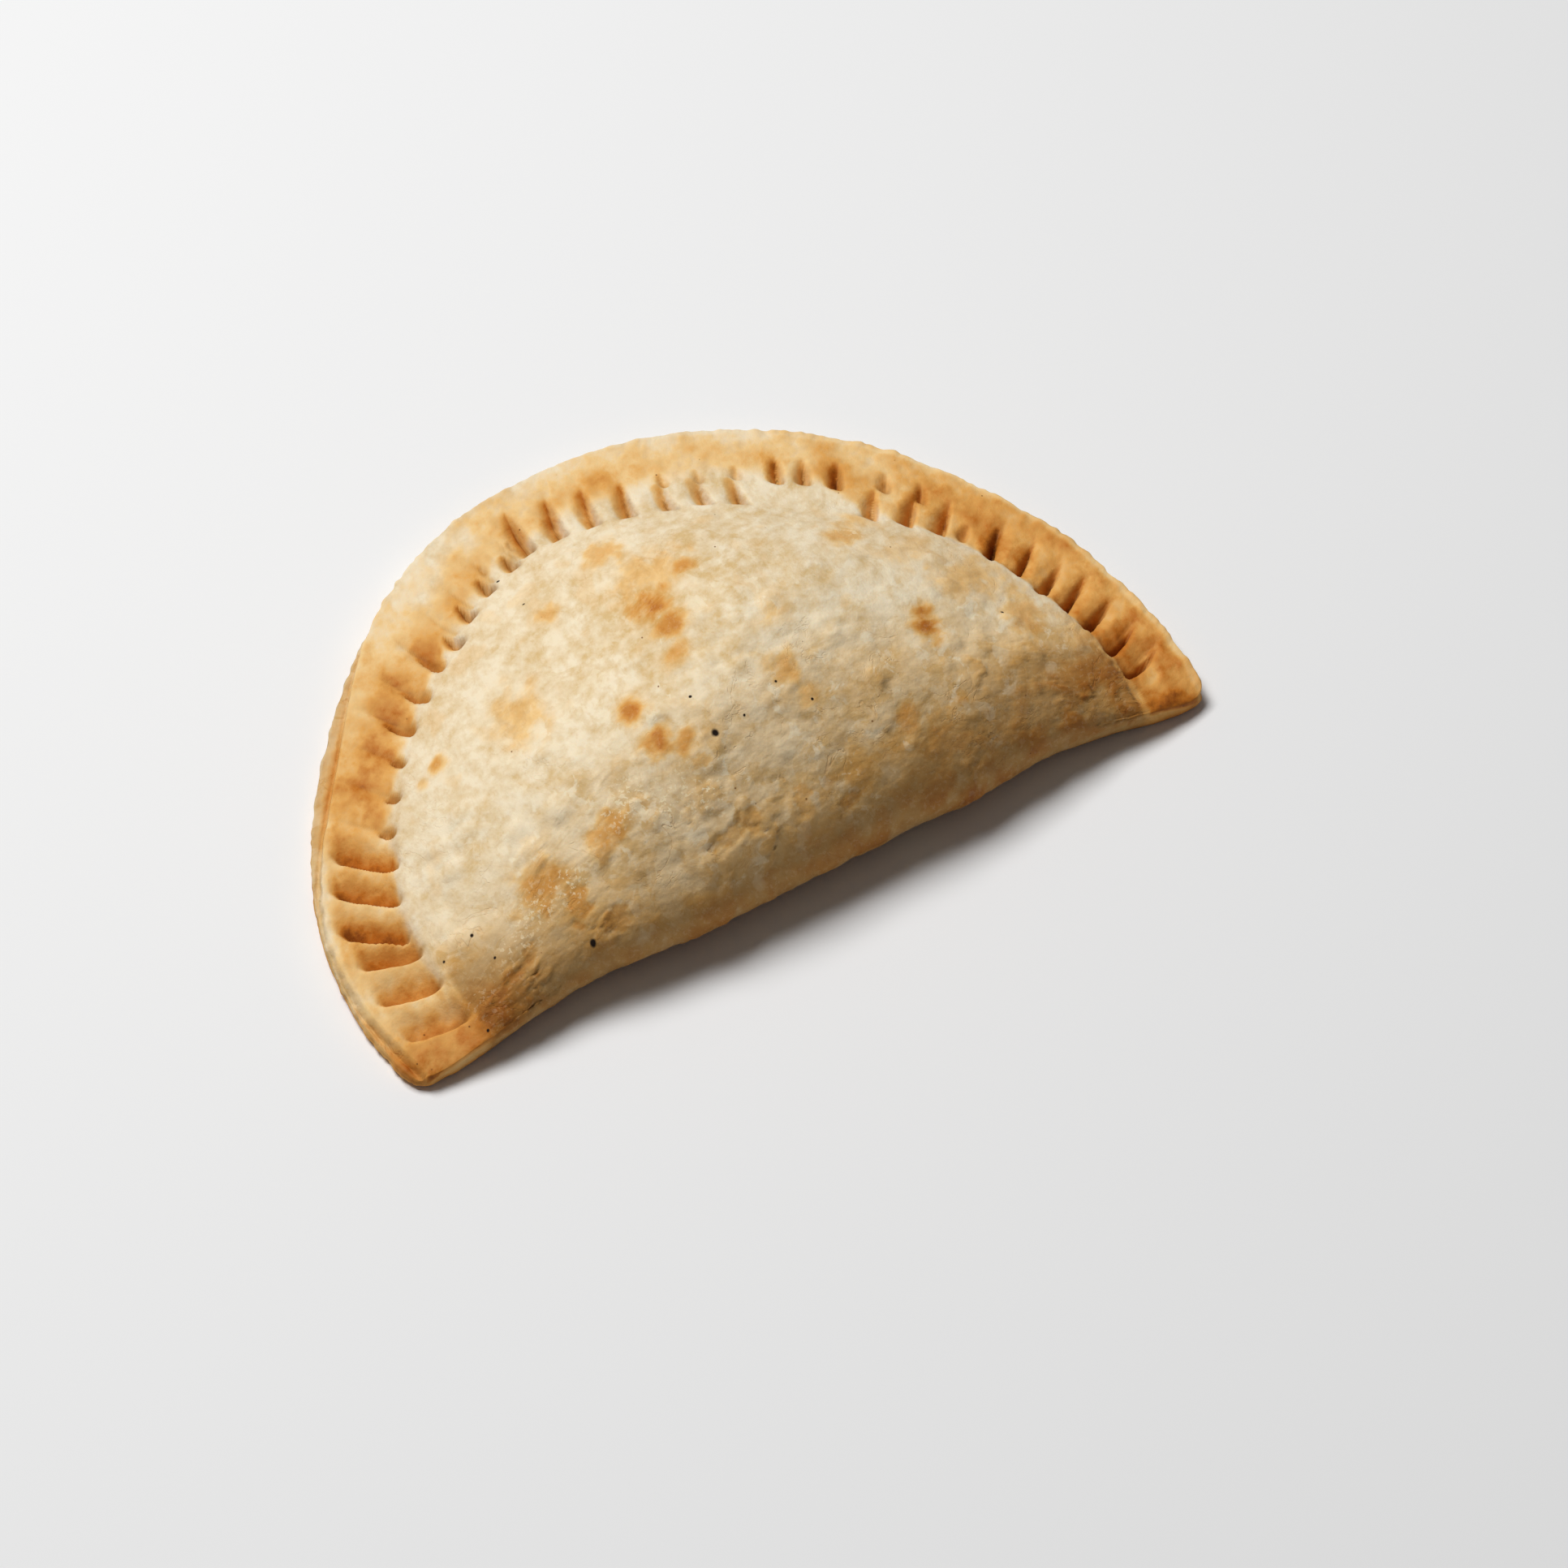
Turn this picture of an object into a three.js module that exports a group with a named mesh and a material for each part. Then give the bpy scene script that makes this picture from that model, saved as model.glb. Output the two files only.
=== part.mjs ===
import * as THREE from 'three';

// Half-moon pastry, millimetres, +Z up. X runs along the fold, +Y points to the crimped edge.
// While the shape is worked out, the fold lies on y = 0 and the underside on z = 0.

// Plan outline: an arc closed by the fold
const ARC_RADIUS = 76.2;
const ARC_CENTRE_Y = 24;
const CORNER_POWER = 26;
const TIP_ANGLE = 198;
const FOLD_DENT = 1.8;
const FOLD_DENT_X = 50;
const FOLD_DENT_WIDTH = 17;

// Swells of the arc: angle in degrees, half width in degrees, height in millimetres
const ARC_SWELLS = [
  [139, 27, -3.7],
  [200, 28, 4.8],
  [85, 27, 3.0],
  [8, 26, -2.4],
  [-30, 14, 1.6],
];

// Heights
const BODY_HEIGHT = 36.6;
const BAND_HEIGHT = 7.4;
const EDGE_HEIGHT = 4.8;
const LIP_HEIGHT = 2.5;
const RIM_EQUATOR = 1.4;
const FOLD_EQUATOR = 11;
const SHOULDER_RISE = 1.6;

// Widths
const LIP_BACK = 0.4;
const LIP_RUN = 0.9;
const SHOULDER_BACK = 2.5;
const SHOULDER_RUN = 3.5;
const SHOULDER_LEAST = 0.2;
const SHOULDER_END = 21;
const SHOULDER_FADE = 5;
const SLOPE_START = 17;
const SLOPE_FADE = 40;
const SLOPE_WIDTH = 58;
const SLOPE_POWER = 1.9;
const BACK_POWER = 1.4;
const BACK_PLACE = 150;
const BACK_WIDTH = 65;
const CROWN_ROUND = 0.25;
const FILLET = 1;
const BACK_FILLET = 5;
const FILLET_PLACE = 180;
const FILLET_WIDTH = 38;
const FOLD_ROUND = 40;
const FOLD_ROUND_TIP = 4;
const FOLD_ROUND_RANGE = 15;
const FOLD_UNDER = 8;
const FOLD_RANGE = 25;
const RIM_UNDER = 1.6;

// The lower sheet shows past the upper one: place along the arc, half width, how far it shows
const LOWER_SHEET = [
  [8, 20, 1.6],
  [72, 26, 3.0],
  [150, 24, 1.2],
  [232, 20, 0.8],
];

// Where the body begins: place along the arc from the left tip, distance in from the edge
const BODY_EDGE = [
  [0, 12], [14, 12.6], [31, 13.8], [52, 14.1], [76, 14.8], [93, 15.6], [110, 18], [131, 17.8], [144, 19.4],
  [158, 21.4], [181, 22], [196, 20.6], [209, 20.4], [224, 17], [236, 15.3], [262, 13.4], [291, 12],
];
const EDGE_BLUR = 5;
const SLOPE_BLUR = 16;

// Fork presses: first groove's place along the arc, pitch, number of grooves, reach in from the edge of the
// first and last, length, depth, width of the steep and of the gentle side, drift along the arc per millimetre
const PRESSES = [
  [14.0, 8.6, 3, 12.6, 13.8, 10.5, 3.4, 0.9, 3.4, 0.1],
  [35.9, 8.1, 3, 12.7, 14.2, 11.5, 3.2, 1.0, 3.6, -0.16],
  [59.5, 8.5, 3, 14.2, 14.8, 3.6, 2.0, 0.7, 1.3, -0.25],
  [85.1, 8.4, 3, 15.2, 16.6, 6.8, 2.4, 0.7, 2.0, -0.05],
  [109.9, 7.4, 4, 18.1, 17.8, 5.2, 2.3, 0.7, 2.2, 0.05],
  [137.0, 7.2, 4, 17.2, 21.8, 12.0, 2.8, 0.7, 2.6, -0.2],
  [167.0, 7.3, 3, 22.0, 22.4, 9.5, 2.4, 0.7, 2.4, -0.03],
  [190.2, 5.8, 3, 14.4, 14.0, 7.5, 2.8, 0.8, 1.6, -0.07],
  [209.0, 7.4, 3, 20.8, 16.8, 10.0, 3.0, 0.8, 2.0, -0.12],
  [235.6, 6.7, 5, 15.3, 13.2, 10.0, 3.4, 0.9, 1.2, -0.1],
  [270.0, 6.8, 2, 13.0, 12.2, 9.0, 3.0, 0.9, 1.2, -0.1],
];
// Grooves before LONG_END keep their width, and past LEAN_TURN the steep side is the one to the right
const LONG_END = 56;
const LEAN_TURN = 107;
// Shallower marks of the fork further out, and the hollows beside its short notches
const FORK_MARKS = [
  [61.0, 8.5, 3, 12.5, 13.0, 9.0, 0.6, 1.8, 2.6, -0.1],
  [86.5, 8.3, 3, 14.0, 15.0, 10.0, 1.2, 2.0, 2.8, 0],
  [111.5, 7.4, 4, 16.2, 16.4, 7.5, 0.6, 1.8, 2.6, 0],
  [127.0, 8.0, 2, 14.0, 14.0, 3.2, 0.9, 0.8, 1.2, 0],
  [168.0, 7.4, 3, 15.0, 14.0, 4.0, 0.9, 0.8, 1.2, 0],
  [212.0, 7.0, 2, 11.5, 10.5, 5.0, 1.5, 1.0, 1.4, 0],
  [228.7, 0, 1, 14.3, 14.3, 4.0, 1.2, 0.8, 1.3, -0.2],
  [235.6, 6.7, 7, 14.6, 12.0, 11.0, 1.0, 2.4, 2.4, -0.1],
];
const STEEP_POWER = 2.5;
const GROOVE_END_BACK = 0.6;
const GROOVE_END_RUN = 1.3;
const GROOVE_TAPER = 0.6;
const LONG_TAPER = 0.4;
const NARROWEST = 0.55;
const NARROW_RUN = 0.8;

// Swells of the body's surface: height, millimetres of x and of y per radian, phase
const BODY_SWELLS = [
  [0.3, 9.0, 13.0, 1.3],
  [0.2, 5.1, 6.3, 0],
  [0.2, -7.7, 4.3, 2],
];
const SWELL_START = 0.25;

// Points on x = 0 that the rim's grooves and the surface's rings aim at
const AIM_Y = -15;
const POLE_Y = 12;

// Rings of the surface: shares of the body's edge distance, then shares of what is left to the pole
const EDGE_RINGS = [0, 0.035, 0.1, 0.2, 0.33, 0.48, 0.63, 0.77, 0.88, 0.96, 1.03, 1.12, 1.26, 1.46];
const INNER_RINGS = [0.85, 0.7, 0.55, 0.41, 0.27, 0.14, 0];
const UNDER_RINGS = [0.12, 0.42, 1];
const TOP_RINGS = EDGE_RINGS.length + INNER_RINGS.length;
const EDGE_REFERENCE = 70;
const FOLD_STEPS = 36;
const TIP_WIDTH = 16;
const TIP_BLEND = 12;
const COLUMN_PITCH = 2.4;
const COLUMN_GAP = 0.6;
const WALK_STEPS = 1600;

const DOUGH_COLOUR = 0xe2c795;
const DOUGH_ROUGHNESS = 0.75;
const DEG = Math.PI / 180;
const TINY = 1e-4;

function clamp01(t) {
  return Math.min(Math.max(t, 0), 1);
}

function smooth(t) {
  const c = clamp01(t);
  return c * c * (3 - 2 * c);
}

function quarterRound(t) {
  const c = 1 - clamp01(t);
  return Math.sqrt(1 - c * c);
}

function bell(t) {
  return Math.exp(-t * t);
}

// Value at x between rows whose first entries rise; key and value are the entries used.
function between(rows, x, key, value) {
  let i = 1;
  while (i < rows.length - 1 && rows[i][key] < x) i += 1;
  const a = rows[i - 1];
  const b = rows[i];
  const share = clamp01((x - a[key]) / Math.max(b[key] - a[key], TINY));
  return a[value] + (b[value] - a[value]) * share;
}

function arcRadius(angle) {
  let radius = ARC_RADIUS;
  for (const [centre, width, height] of ARC_SWELLS) {
    const turn = ((angle - centre + 540) % 360) - 180;
    radius += height * bell(turn / width);
  }
  return radius;
}

// The fold draws in a little between the body and each flat tip.
function foldLine(x) {
  return FOLD_DENT * bell((Math.abs(x) - FOLD_DENT_X) / FOLD_DENT_WIDTH);
}

function outlinePoint(angle) {
  const down = Math.max(-Math.sin(angle * DEG), TINY);
  const foldX = (ARC_CENTRE_Y * Math.cos(angle * DEG)) / down;
  const fold = (ARC_CENTRE_Y - foldLine(foldX)) / down;
  const sum = Math.pow(arcRadius(angle), -CORNER_POWER) + Math.pow(fold, -CORNER_POWER);
  const radius = Math.pow(sum, -1 / CORNER_POWER);
  return [radius * Math.cos(angle * DEG), ARC_CENTRE_Y + radius * Math.sin(angle * DEG)];
}

function arcDepth(x, y) {
  const angle = Math.atan2(y - ARC_CENTRE_Y, x) / DEG;
  return arcRadius(angle) - Math.hypot(x, y - ARC_CENTRE_Y);
}

// Steps along the outline, each with its angle, the length run to it and its turn about the aim point
function walk(start, end) {
  const steps = [];
  let length = 0;
  let turn = -Math.PI;
  let last = outlinePoint(start);
  for (let i = 0; i <= WALK_STEPS; i += 1) {
    const angle = start + ((end - start) * i) / WALK_STEPS;
    const here = outlinePoint(angle);
    length += Math.hypot(here[0] - last[0], here[1] - last[1]);
    turn = Math.max(turn, -Math.atan2(here[1] - AIM_Y, here[0]));
    steps.push({ angle, length, turn });
    last = here;
  }
  return steps;
}

const arcWalk = walk(TIP_ANGLE, 180 - TIP_ANGLE);
const foldWalk = walk(TIP_ANGLE, 540 - TIP_ANGLE);
const ARC_LENGTH = arcWalk[WALK_STEPS].length;
const FOLD_LENGTH = foldWalk[WALK_STEPS].length;

// Length along the arc, from the left tip, of the groove line through a plan point
function arcPlace(x, y) {
  return between(arcWalk, -Math.atan2(y - AIM_Y, x), 'turn', 'length');
}

function grooveList(presses) {
  const grooves = [];
  for (const [first, pitch, count, reach, lastReach, ...shape] of presses) {
    const [length, depth, steep, gentle, drift] = shape;
    for (let i = 0; i < count; i += 1) {
      const place = first + pitch * i;
      const inner = reach + ((lastReach - reach) * i) / Math.max(count - 1, 1);
      const lean = place > LEAN_TURN ? -1 : 1;
      grooves.push({ place, reach: inner, length, depth, steep, gentle, drift, lean });
    }
  }
  return grooves;
}
const MAIN_GROOVES = grooveList(PRESSES);
const ALL_GROOVES = MAIN_GROOVES.concat(grooveList(FORK_MARKS));

// Columns follow the grooves: ridge, floor and flank of each, with more between where they lie far apart.
function arcPlaces() {
  const marks = [0];
  for (const { place, steep, gentle, lean } of MAIN_GROOVES) {
    const before = lean > 0 ? steep : gentle;
    const after = lean > 0 ? gentle : steep;
    for (const mark of [place - before, place, place + after]) {
      if (mark - marks[marks.length - 1] > COLUMN_GAP) marks.push(mark);
    }
  }
  marks.push(ARC_LENGTH);
  const places = [];
  for (let i = 0; i < marks.length - 1; i += 1) {
    const span = marks[i + 1] - marks[i];
    const parts = Math.ceil(span / COLUMN_PITCH);
    for (let k = 0; k < parts; k += 1) places.push(marks[i] + (span * k) / parts);
  }
  places.push(ARC_LENGTH);
  return places;
}

function bodyEdge(place, blur) {
  const stops = [-1, -0.5, 0, 0.5, 1];
  const total = stops.reduce((sum, k) => sum + between(BODY_EDGE, place + blur * k, 0, 1), 0);
  return total / stops.length;
}

function lowerSheet(place) {
  let show = 0;
  for (const [centre, width, amount] of LOWER_SHEET) {
    show += amount * bell((place - centre) / width);
  }
  return show;
}

// A groove is steep on one side and gentle on the other. It narrows outward unless it is one of the long ones.
function grooveDepth(place, depth) {
  let cut = 0;
  for (const groove of ALL_GROOVES) {
    const isLong = groove.place < LONG_END;
    const along = (depth - groove.reach + groove.length) / groove.length;
    const width = isLong ? 1 : NARROWEST + (1 - NARROWEST) * smooth(along / NARROW_RUN);
    const off = place - groove.place - groove.drift * (depth - groove.reach);
    const aside = (off * groove.lean) / width;
    const across = aside < 0
      ? Math.exp(-Math.pow(-aside / groove.steep, STEEP_POWER))
      : bell(aside / groove.gentle);
    const inner = smooth((groove.reach + GROOVE_END_BACK - depth) / GROOVE_END_RUN);
    const outer = smooth(along / (isLong ? LONG_TAPER : GROOVE_TAPER));
    cut = Math.max(cut, groove.depth * across * inner * outer);
  }
  return cut;
}

function foldShare(depth) {
  return 1 - Math.exp(-Math.max(depth, 0) / FOLD_RANGE);
}

function equatorHeight(x, y) {
  return RIM_EQUATOR + FOLD_EQUATOR * foldShare(arcDepth(x, y));
}

function bodySwell(x, y) {
  return BODY_SWELLS.reduce((sum, [high, alongX, alongY, phase]) => (
    sum + high * Math.sin(x / alongX + y / alongY + phase)
  ), 0);
}

// Power curve from 0 to 1 that starts with a round top in place of a point
function crown(t, power) {
  const curve = (r) => Math.pow(Math.hypot(r, CROWN_ROUND), power) - Math.pow(CROWN_ROUND, power);
  return curve(t) / curve(1);
}

// Height of the top: lip of the lower sheet, pressed rim, shoulder, body, and the round of the fold
function topHeight(x, y) {
  const place = arcPlace(x, y);
  const depth = Math.max(arcDepth(x, y), 0);
  const equator = equatorHeight(x, y);
  const show = lowerSheet(place);
  const edge = bodyEdge(place, EDGE_BLUR);
  let z = LIP_HEIGHT + (EDGE_HEIGHT - LIP_HEIGHT) * smooth((depth - show + LIP_BACK) / LIP_RUN);
  const flat = clamp01((SHOULDER_END - edge) / SHOULDER_FADE);
  const shoulder = SHOULDER_RISE * Math.max(flat, SHOULDER_LEAST);
  z += (BAND_HEIGHT - shoulder - EDGE_HEIGHT) * smooth((depth - show) / edge);
  z += shoulder * smooth((depth - edge + SHOULDER_BACK) / SHOULDER_RUN);
  const near = smooth((edge + SLOPE_FADE - depth) / SLOPE_FADE);
  const start = SLOPE_START + (bodyEdge(place, SLOPE_BLUR) - SLOPE_START) * near;
  const run = depth - start;
  const fillet = FILLET + (BACK_FILLET - FILLET) * bell((place - FILLET_PLACE) / FILLET_WIDTH);
  const rise = clamp01((run + Math.hypot(run, fillet)) / 2 / SLOPE_WIDTH);
  const power = SLOPE_POWER + (BACK_POWER - SLOPE_POWER) * bell((place - BACK_PLACE) / BACK_WIDTH);
  z += (BODY_HEIGHT - BAND_HEIGHT) * (1 - crown(1 - rise, power));
  z += bodySwell(x, y) * smooth(rise / SWELL_START);
  z -= grooveDepth(place, depth);
  const inside = 1 - Math.exp(-depth / FOLD_ROUND_RANGE);
  const round = FOLD_ROUND_TIP + (FOLD_ROUND - FOLD_ROUND_TIP) * inside;
  return equator + (z - equator) * quarterRound((y - foldLine(x)) / round);
}

// Columns start at the left tip, run along the fold, and come back over the arc.
function columnList() {
  const columns = [];
  for (let i = 0; i < FOLD_STEPS; i += 1) {
    const along = (FOLD_LENGTH * i) / FOLD_STEPS;
    const square = smooth(Math.min(along, FOLD_LENGTH - along) / TIP_WIDTH);
    const place = i * 2 < FOLD_STEPS ? 0 : ARC_LENGTH;
    columns.push({ angle: between(foldWalk, along, 'length', 'angle'), place, square });
  }
  for (const place of arcPlaces().reverse()) {
    columns.push({ angle: between(arcWalk, place, 'length', 'angle'), place, square: 0 });
  }
  return columns;
}

// Rings follow the grooves across the rim, then close on the pole.
function topPlan(ex, ey, place, k) {
  const last = EDGE_RINGS.length - 1;
  const away = Math.min(place, ARC_LENGTH - place);
  const aimY = POLE_Y + (AIM_Y - POLE_Y) * smooth(away / TIP_BLEND);
  const short = Math.min(1, Math.hypot(ex, ey - POLE_Y) / EDGE_REFERENCE);
  const run = EDGE_RINGS[Math.min(k, last)] * bodyEdge(place, EDGE_BLUR) * short;
  const share = run / Math.hypot(ex, ey - aimY);
  const left = k > last ? INNER_RINGS[k - last - 1] : 1;
  return [ex * (1 - share) * left, POLE_Y + (ey + (aimY - ey) * share - POLE_Y) * left];
}

function surfacePoint(column, ring) {
  const [ex, ey] = outlinePoint(column.angle);
  const equator = equatorHeight(ex, ey);
  const k = TOP_RINGS - 1 - ring;
  if (k === 0) return [ex, ey, equator];
  if (k > 0) {
    const [x, y] = topPlan(ex, ey, column.place, k);
    return [x, y, topHeight(x, y)];
  }
  if (-k > UNDER_RINGS.length) return [0, POLE_Y, 0];
  const turn = UNDER_RINGS[-k - 1];
  const reach = Math.hypot(ex, ey - POLE_Y);
  const across = reach + (POLE_Y - ey - reach) * column.square;
  const share = ((RIM_UNDER + FOLD_UNDER * foldShare(arcDepth(ex, ey))) * turn) / across;
  const x = ex * (1 - share * (1 - column.square));
  return [x, ey + (POLE_Y - ey) * share, equator * (1 - quarterRound(turn))];
}

function pastryGeometry() {
  const columns = columnList();
  const rings = TOP_RINGS + UNDER_RINGS.length + 1;
  const geometry = new THREE.SphereGeometry(1, columns.length - 1, rings - 1);
  const position = geometry.attributes.position;
  const wide = columns.length;
  for (let ring = 0; ring < rings; ring += 1) {
    for (let i = 0; i < wide; i += 1) {
      const column = columns[i === wide - 1 ? 0 : i];
      const [x, y, z] = surfacePoint(column, ring);
      position.setXYZ(ring * wide + i, x, y, z);
    }
  }
  geometry.computeBoundingBox();
  const box = geometry.boundingBox;
  const middle = box.getCenter(new THREE.Vector3());
  geometry.translate(-middle.x, -middle.y, -box.min.z);
  geometry.computeVertexNormals();
  return geometry;
}

const group = new THREE.Group();
group.name = 'empanada_part';
const dough = new THREE.MeshStandardMaterial({ color: DOUGH_COLOUR, roughness: DOUGH_ROUGHNESS });
dough.name = 'baked_dough';
const pastry = new THREE.Mesh(pastryGeometry(), dough);
pastry.name = 'empanada';
group.add(pastry);

export default group;
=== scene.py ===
import math
import random
from functools import partial
from types import SimpleNamespace

import bmesh
import bpy
import numpy as np
from bpy.props import FloatProperty, FloatVectorProperty, PointerProperty
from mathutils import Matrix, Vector, noise


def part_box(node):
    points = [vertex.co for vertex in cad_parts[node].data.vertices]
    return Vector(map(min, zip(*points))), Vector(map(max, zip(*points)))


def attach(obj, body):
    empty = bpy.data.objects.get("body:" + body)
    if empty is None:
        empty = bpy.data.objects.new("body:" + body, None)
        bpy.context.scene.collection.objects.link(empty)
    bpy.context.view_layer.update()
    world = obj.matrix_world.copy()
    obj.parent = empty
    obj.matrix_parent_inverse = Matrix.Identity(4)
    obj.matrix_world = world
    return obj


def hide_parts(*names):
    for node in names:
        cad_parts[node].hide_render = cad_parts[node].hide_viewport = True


bl_info = {
    "name": "Baked empanada",
    "version": (1, 0, 0),
    "blender": (4, 5, 0),
    "location": "View3D > Sidebar > Empanada",
    "description": "Builds a fork-crimped half-moon pastry around its solid",
    "category": "Object",
}

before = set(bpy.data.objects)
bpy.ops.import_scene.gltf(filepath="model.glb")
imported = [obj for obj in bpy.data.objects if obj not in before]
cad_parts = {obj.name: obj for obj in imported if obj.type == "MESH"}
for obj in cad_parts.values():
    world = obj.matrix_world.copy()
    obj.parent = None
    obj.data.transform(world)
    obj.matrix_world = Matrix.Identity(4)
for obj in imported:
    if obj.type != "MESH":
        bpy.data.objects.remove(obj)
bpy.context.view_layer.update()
NODE = "empanada"
LOW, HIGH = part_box(NODE)
MM = 0.001

# The form is worked out in millimetres in plan: the fold lies on y = 0, and +y points to the crimped arc.
ARC_RADIUS = 76.2
ARC_CENTRE_Y = 24.0
ARC_SWELLS = ((139, 27, -3.7), (200, 28, 4.8), (85, 27, 3.0), (8, 26, -2.4), (-30, 14, 1.6))
CORNER_POWER = 26
TIP_ANGLE = 198.0
FOLD_DENT = 1.8
FOLD_DENT_X = 50.0
FOLD_DENT_WIDTH = 17.0
AIM_Y = -15.0

# Heights and widths across the rim and the body
BAND_HEIGHT = 7.4
EDGE_HEIGHT = 4.8
LIP_HEIGHT = 2.5
RIM_EQUATOR = 1.4
FOLD_EQUATOR = 11.0
SHOULDER_RISE = 1.6
SLOPE_TOP = 1.045
SLOPE_START = 17.0
SLOPE_WIDTH = 58.0
SLOPE_POWER = 1.9
BACK_POWER = 1.4
BACK_PLACE = 150.0
BACK_WIDTH = 65.0
CROWN_ROUND = 0.25
FILLET = 1.0
BACK_FILLET = 5.0
FILLET_PLACE = 180.0
FILLET_WIDTH = 38.0
FOLD_ROUND = 40.0
FOLD_ROUND_TIP = 4.0
FOLD_ROUND_RUN = 15.0
FOLD_GROWTH = 25.0
FOLD_UNDER = 8.0
RIM_UNDER = 1.6
EDGE_NOTCH = 0.35
SHEET_STEP = (-0.4, 0.5)
SHEET_CREASE = 0.35
SHOULDER_START = (-2.5, 1.0)
SHOULDER_BAND = (21.0, 16.0)
LEAST_SHOULDER = 0.2
SLOPE_BLEND = (40.0, 0.0)
EDGE_BLUR = 5.0
SLOPE_BLUR = 16.0

# Where the lower sheet of dough shows past the upper one: place along the arc, half width, amount
LOWER_SHEET = (
    (8, 20, 1.6), (72, 26, 3.0), (150, 24, 1.2), (232, 20, 0.8),
)

# Where the body begins: place along the arc from the left tip, distance in from the edge
BODY_EDGE = (
    (0, 12), (14, 12.6), (31, 13.8), (52, 14.1), (76, 14.8), (93, 15.6), (110, 18), (131, 17.8),
    (144, 19.4), (158, 21.4), (181, 22), (196, 20.6), (209, 20.4), (224, 17), (236, 15.3), (262, 13.4),
    (291, 12),
)

# Fork presses: first groove's place along the arc, pitch, count, reach in from the edge of the first and the
# last, length, depth, width of the steep and of the gentle side, drift along the arc per millimetre
PRESSES = (
    (14.0, 8.6, 3, 12.6, 13.8, 10.5, 3.4, 0.9, 3.4, 0.1),
    (35.9, 8.1, 3, 12.7, 14.2, 11.5, 3.2, 1.0, 3.6, -0.16),
    (59.5, 8.5, 3, 14.2, 14.8, 3.6, 2.0, 0.7, 1.3, -0.25),
    (85.1, 8.4, 3, 15.2, 16.6, 6.8, 2.4, 0.7, 2.0, -0.05),
    (109.9, 7.4, 4, 18.1, 17.8, 5.2, 2.3, 0.7, 2.2, 0.05),
    (137.0, 7.2, 4, 17.2, 21.8, 12.0, 2.8, 0.7, 2.6, -0.2),
    (167.0, 7.3, 3, 22.0, 22.4, 9.5, 2.4, 0.7, 2.4, -0.03),
    (190.2, 5.8, 3, 14.4, 14.0, 7.5, 2.8, 0.8, 1.6, -0.07),
    (209.0, 7.4, 3, 20.8, 16.8, 10.0, 3.0, 0.8, 2.0, -0.12),
    (235.6, 6.7, 5, 15.3, 13.2, 10.0, 3.4, 0.9, 1.2, -0.1),
    (270.0, 6.8, 2, 13.0, 12.2, 9.0, 3.0, 0.9, 1.2, -0.1),
)

# Shallower marks of the fork further out, and the hollows beside its short notches, in the same order
FORK_MARKS = (
    (61.0, 8.5, 3, 12.5, 13.0, 9.0, 0.6, 1.8, 2.6, -0.1),
    (86.5, 8.3, 3, 14.0, 15.0, 10.0, 1.2, 2.0, 2.8, 0.0),
    (111.5, 7.4, 4, 16.2, 16.4, 7.5, 0.6, 1.8, 2.6, 0.0),
    (127.0, 8.0, 2, 14.0, 14.0, 3.2, 0.9, 0.8, 1.2, 0.0),
    (168.0, 7.4, 3, 15.0, 14.0, 4.0, 0.9, 0.8, 1.2, 0.0),
    (212.0, 7.0, 2, 11.5, 10.5, 5.0, 1.5, 1.0, 1.4, 0.0),
    (228.7, 0.0, 1, 14.3, 14.3, 4.0, 1.2, 0.8, 1.3, -0.2),
    (235.6, 6.7, 7, 14.6, 12.0, 11.0, 1.0, 2.4, 2.4, -0.1),
)

# Grooves before LONG_END keep their width, and past LEAN_TURN the steep side is the one to the right
LONG_END = 56.0
LEAN_TURN = 107.0

# Random shifts of each groove: seed, along the arc, in reach, in drift, then ranges of its width and depth
GROOVE_SEED = 11
PLACE_SHIFT = 0.25
REACH_SHIFT = 0.4
DRIFT_SHIFT = 0.05
WIDTH_RANGE = (0.9, 1.12)
DEPTH_RANGE = (0.9, 1.08)

# A groove's cross section: power of its steep side, share of its width at the outer end, and its crease
STEEP_POWER = 2.5
OUTER_WIDTH = 0.55
CREASE_SIDE = 0.3
CREASE_WIDTH = 0.5
CREASE_DEPTH = 0.5

# How a groove ends inwards, and over what share of its length it narrows, fades out and browns less outwards
GROOVE_END = (0.6, -0.7)
NARROW_RUN = 0.8
SHORT_FADE = 0.6
LONG_FADE = 0.4
BROWN_FADE = 0.2

# Browning beside the crease: its width on the steep side, and its share of the groove's on the gentle one,
# which is turned from the light, so that browning is partly painted shade
BROWN_STEEP = 0.4
BROWN_GENTLE = 1.2

# Pit at a groove's inner end: how far aside and short of the end it lies, its half widths; it and the crease
# carry painted shade
PIT_SIDE = 0.2
PIT_SHORT = 0.7
PIT_WIDTH = 0.85
PIT_LENGTH = 1.1

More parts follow.
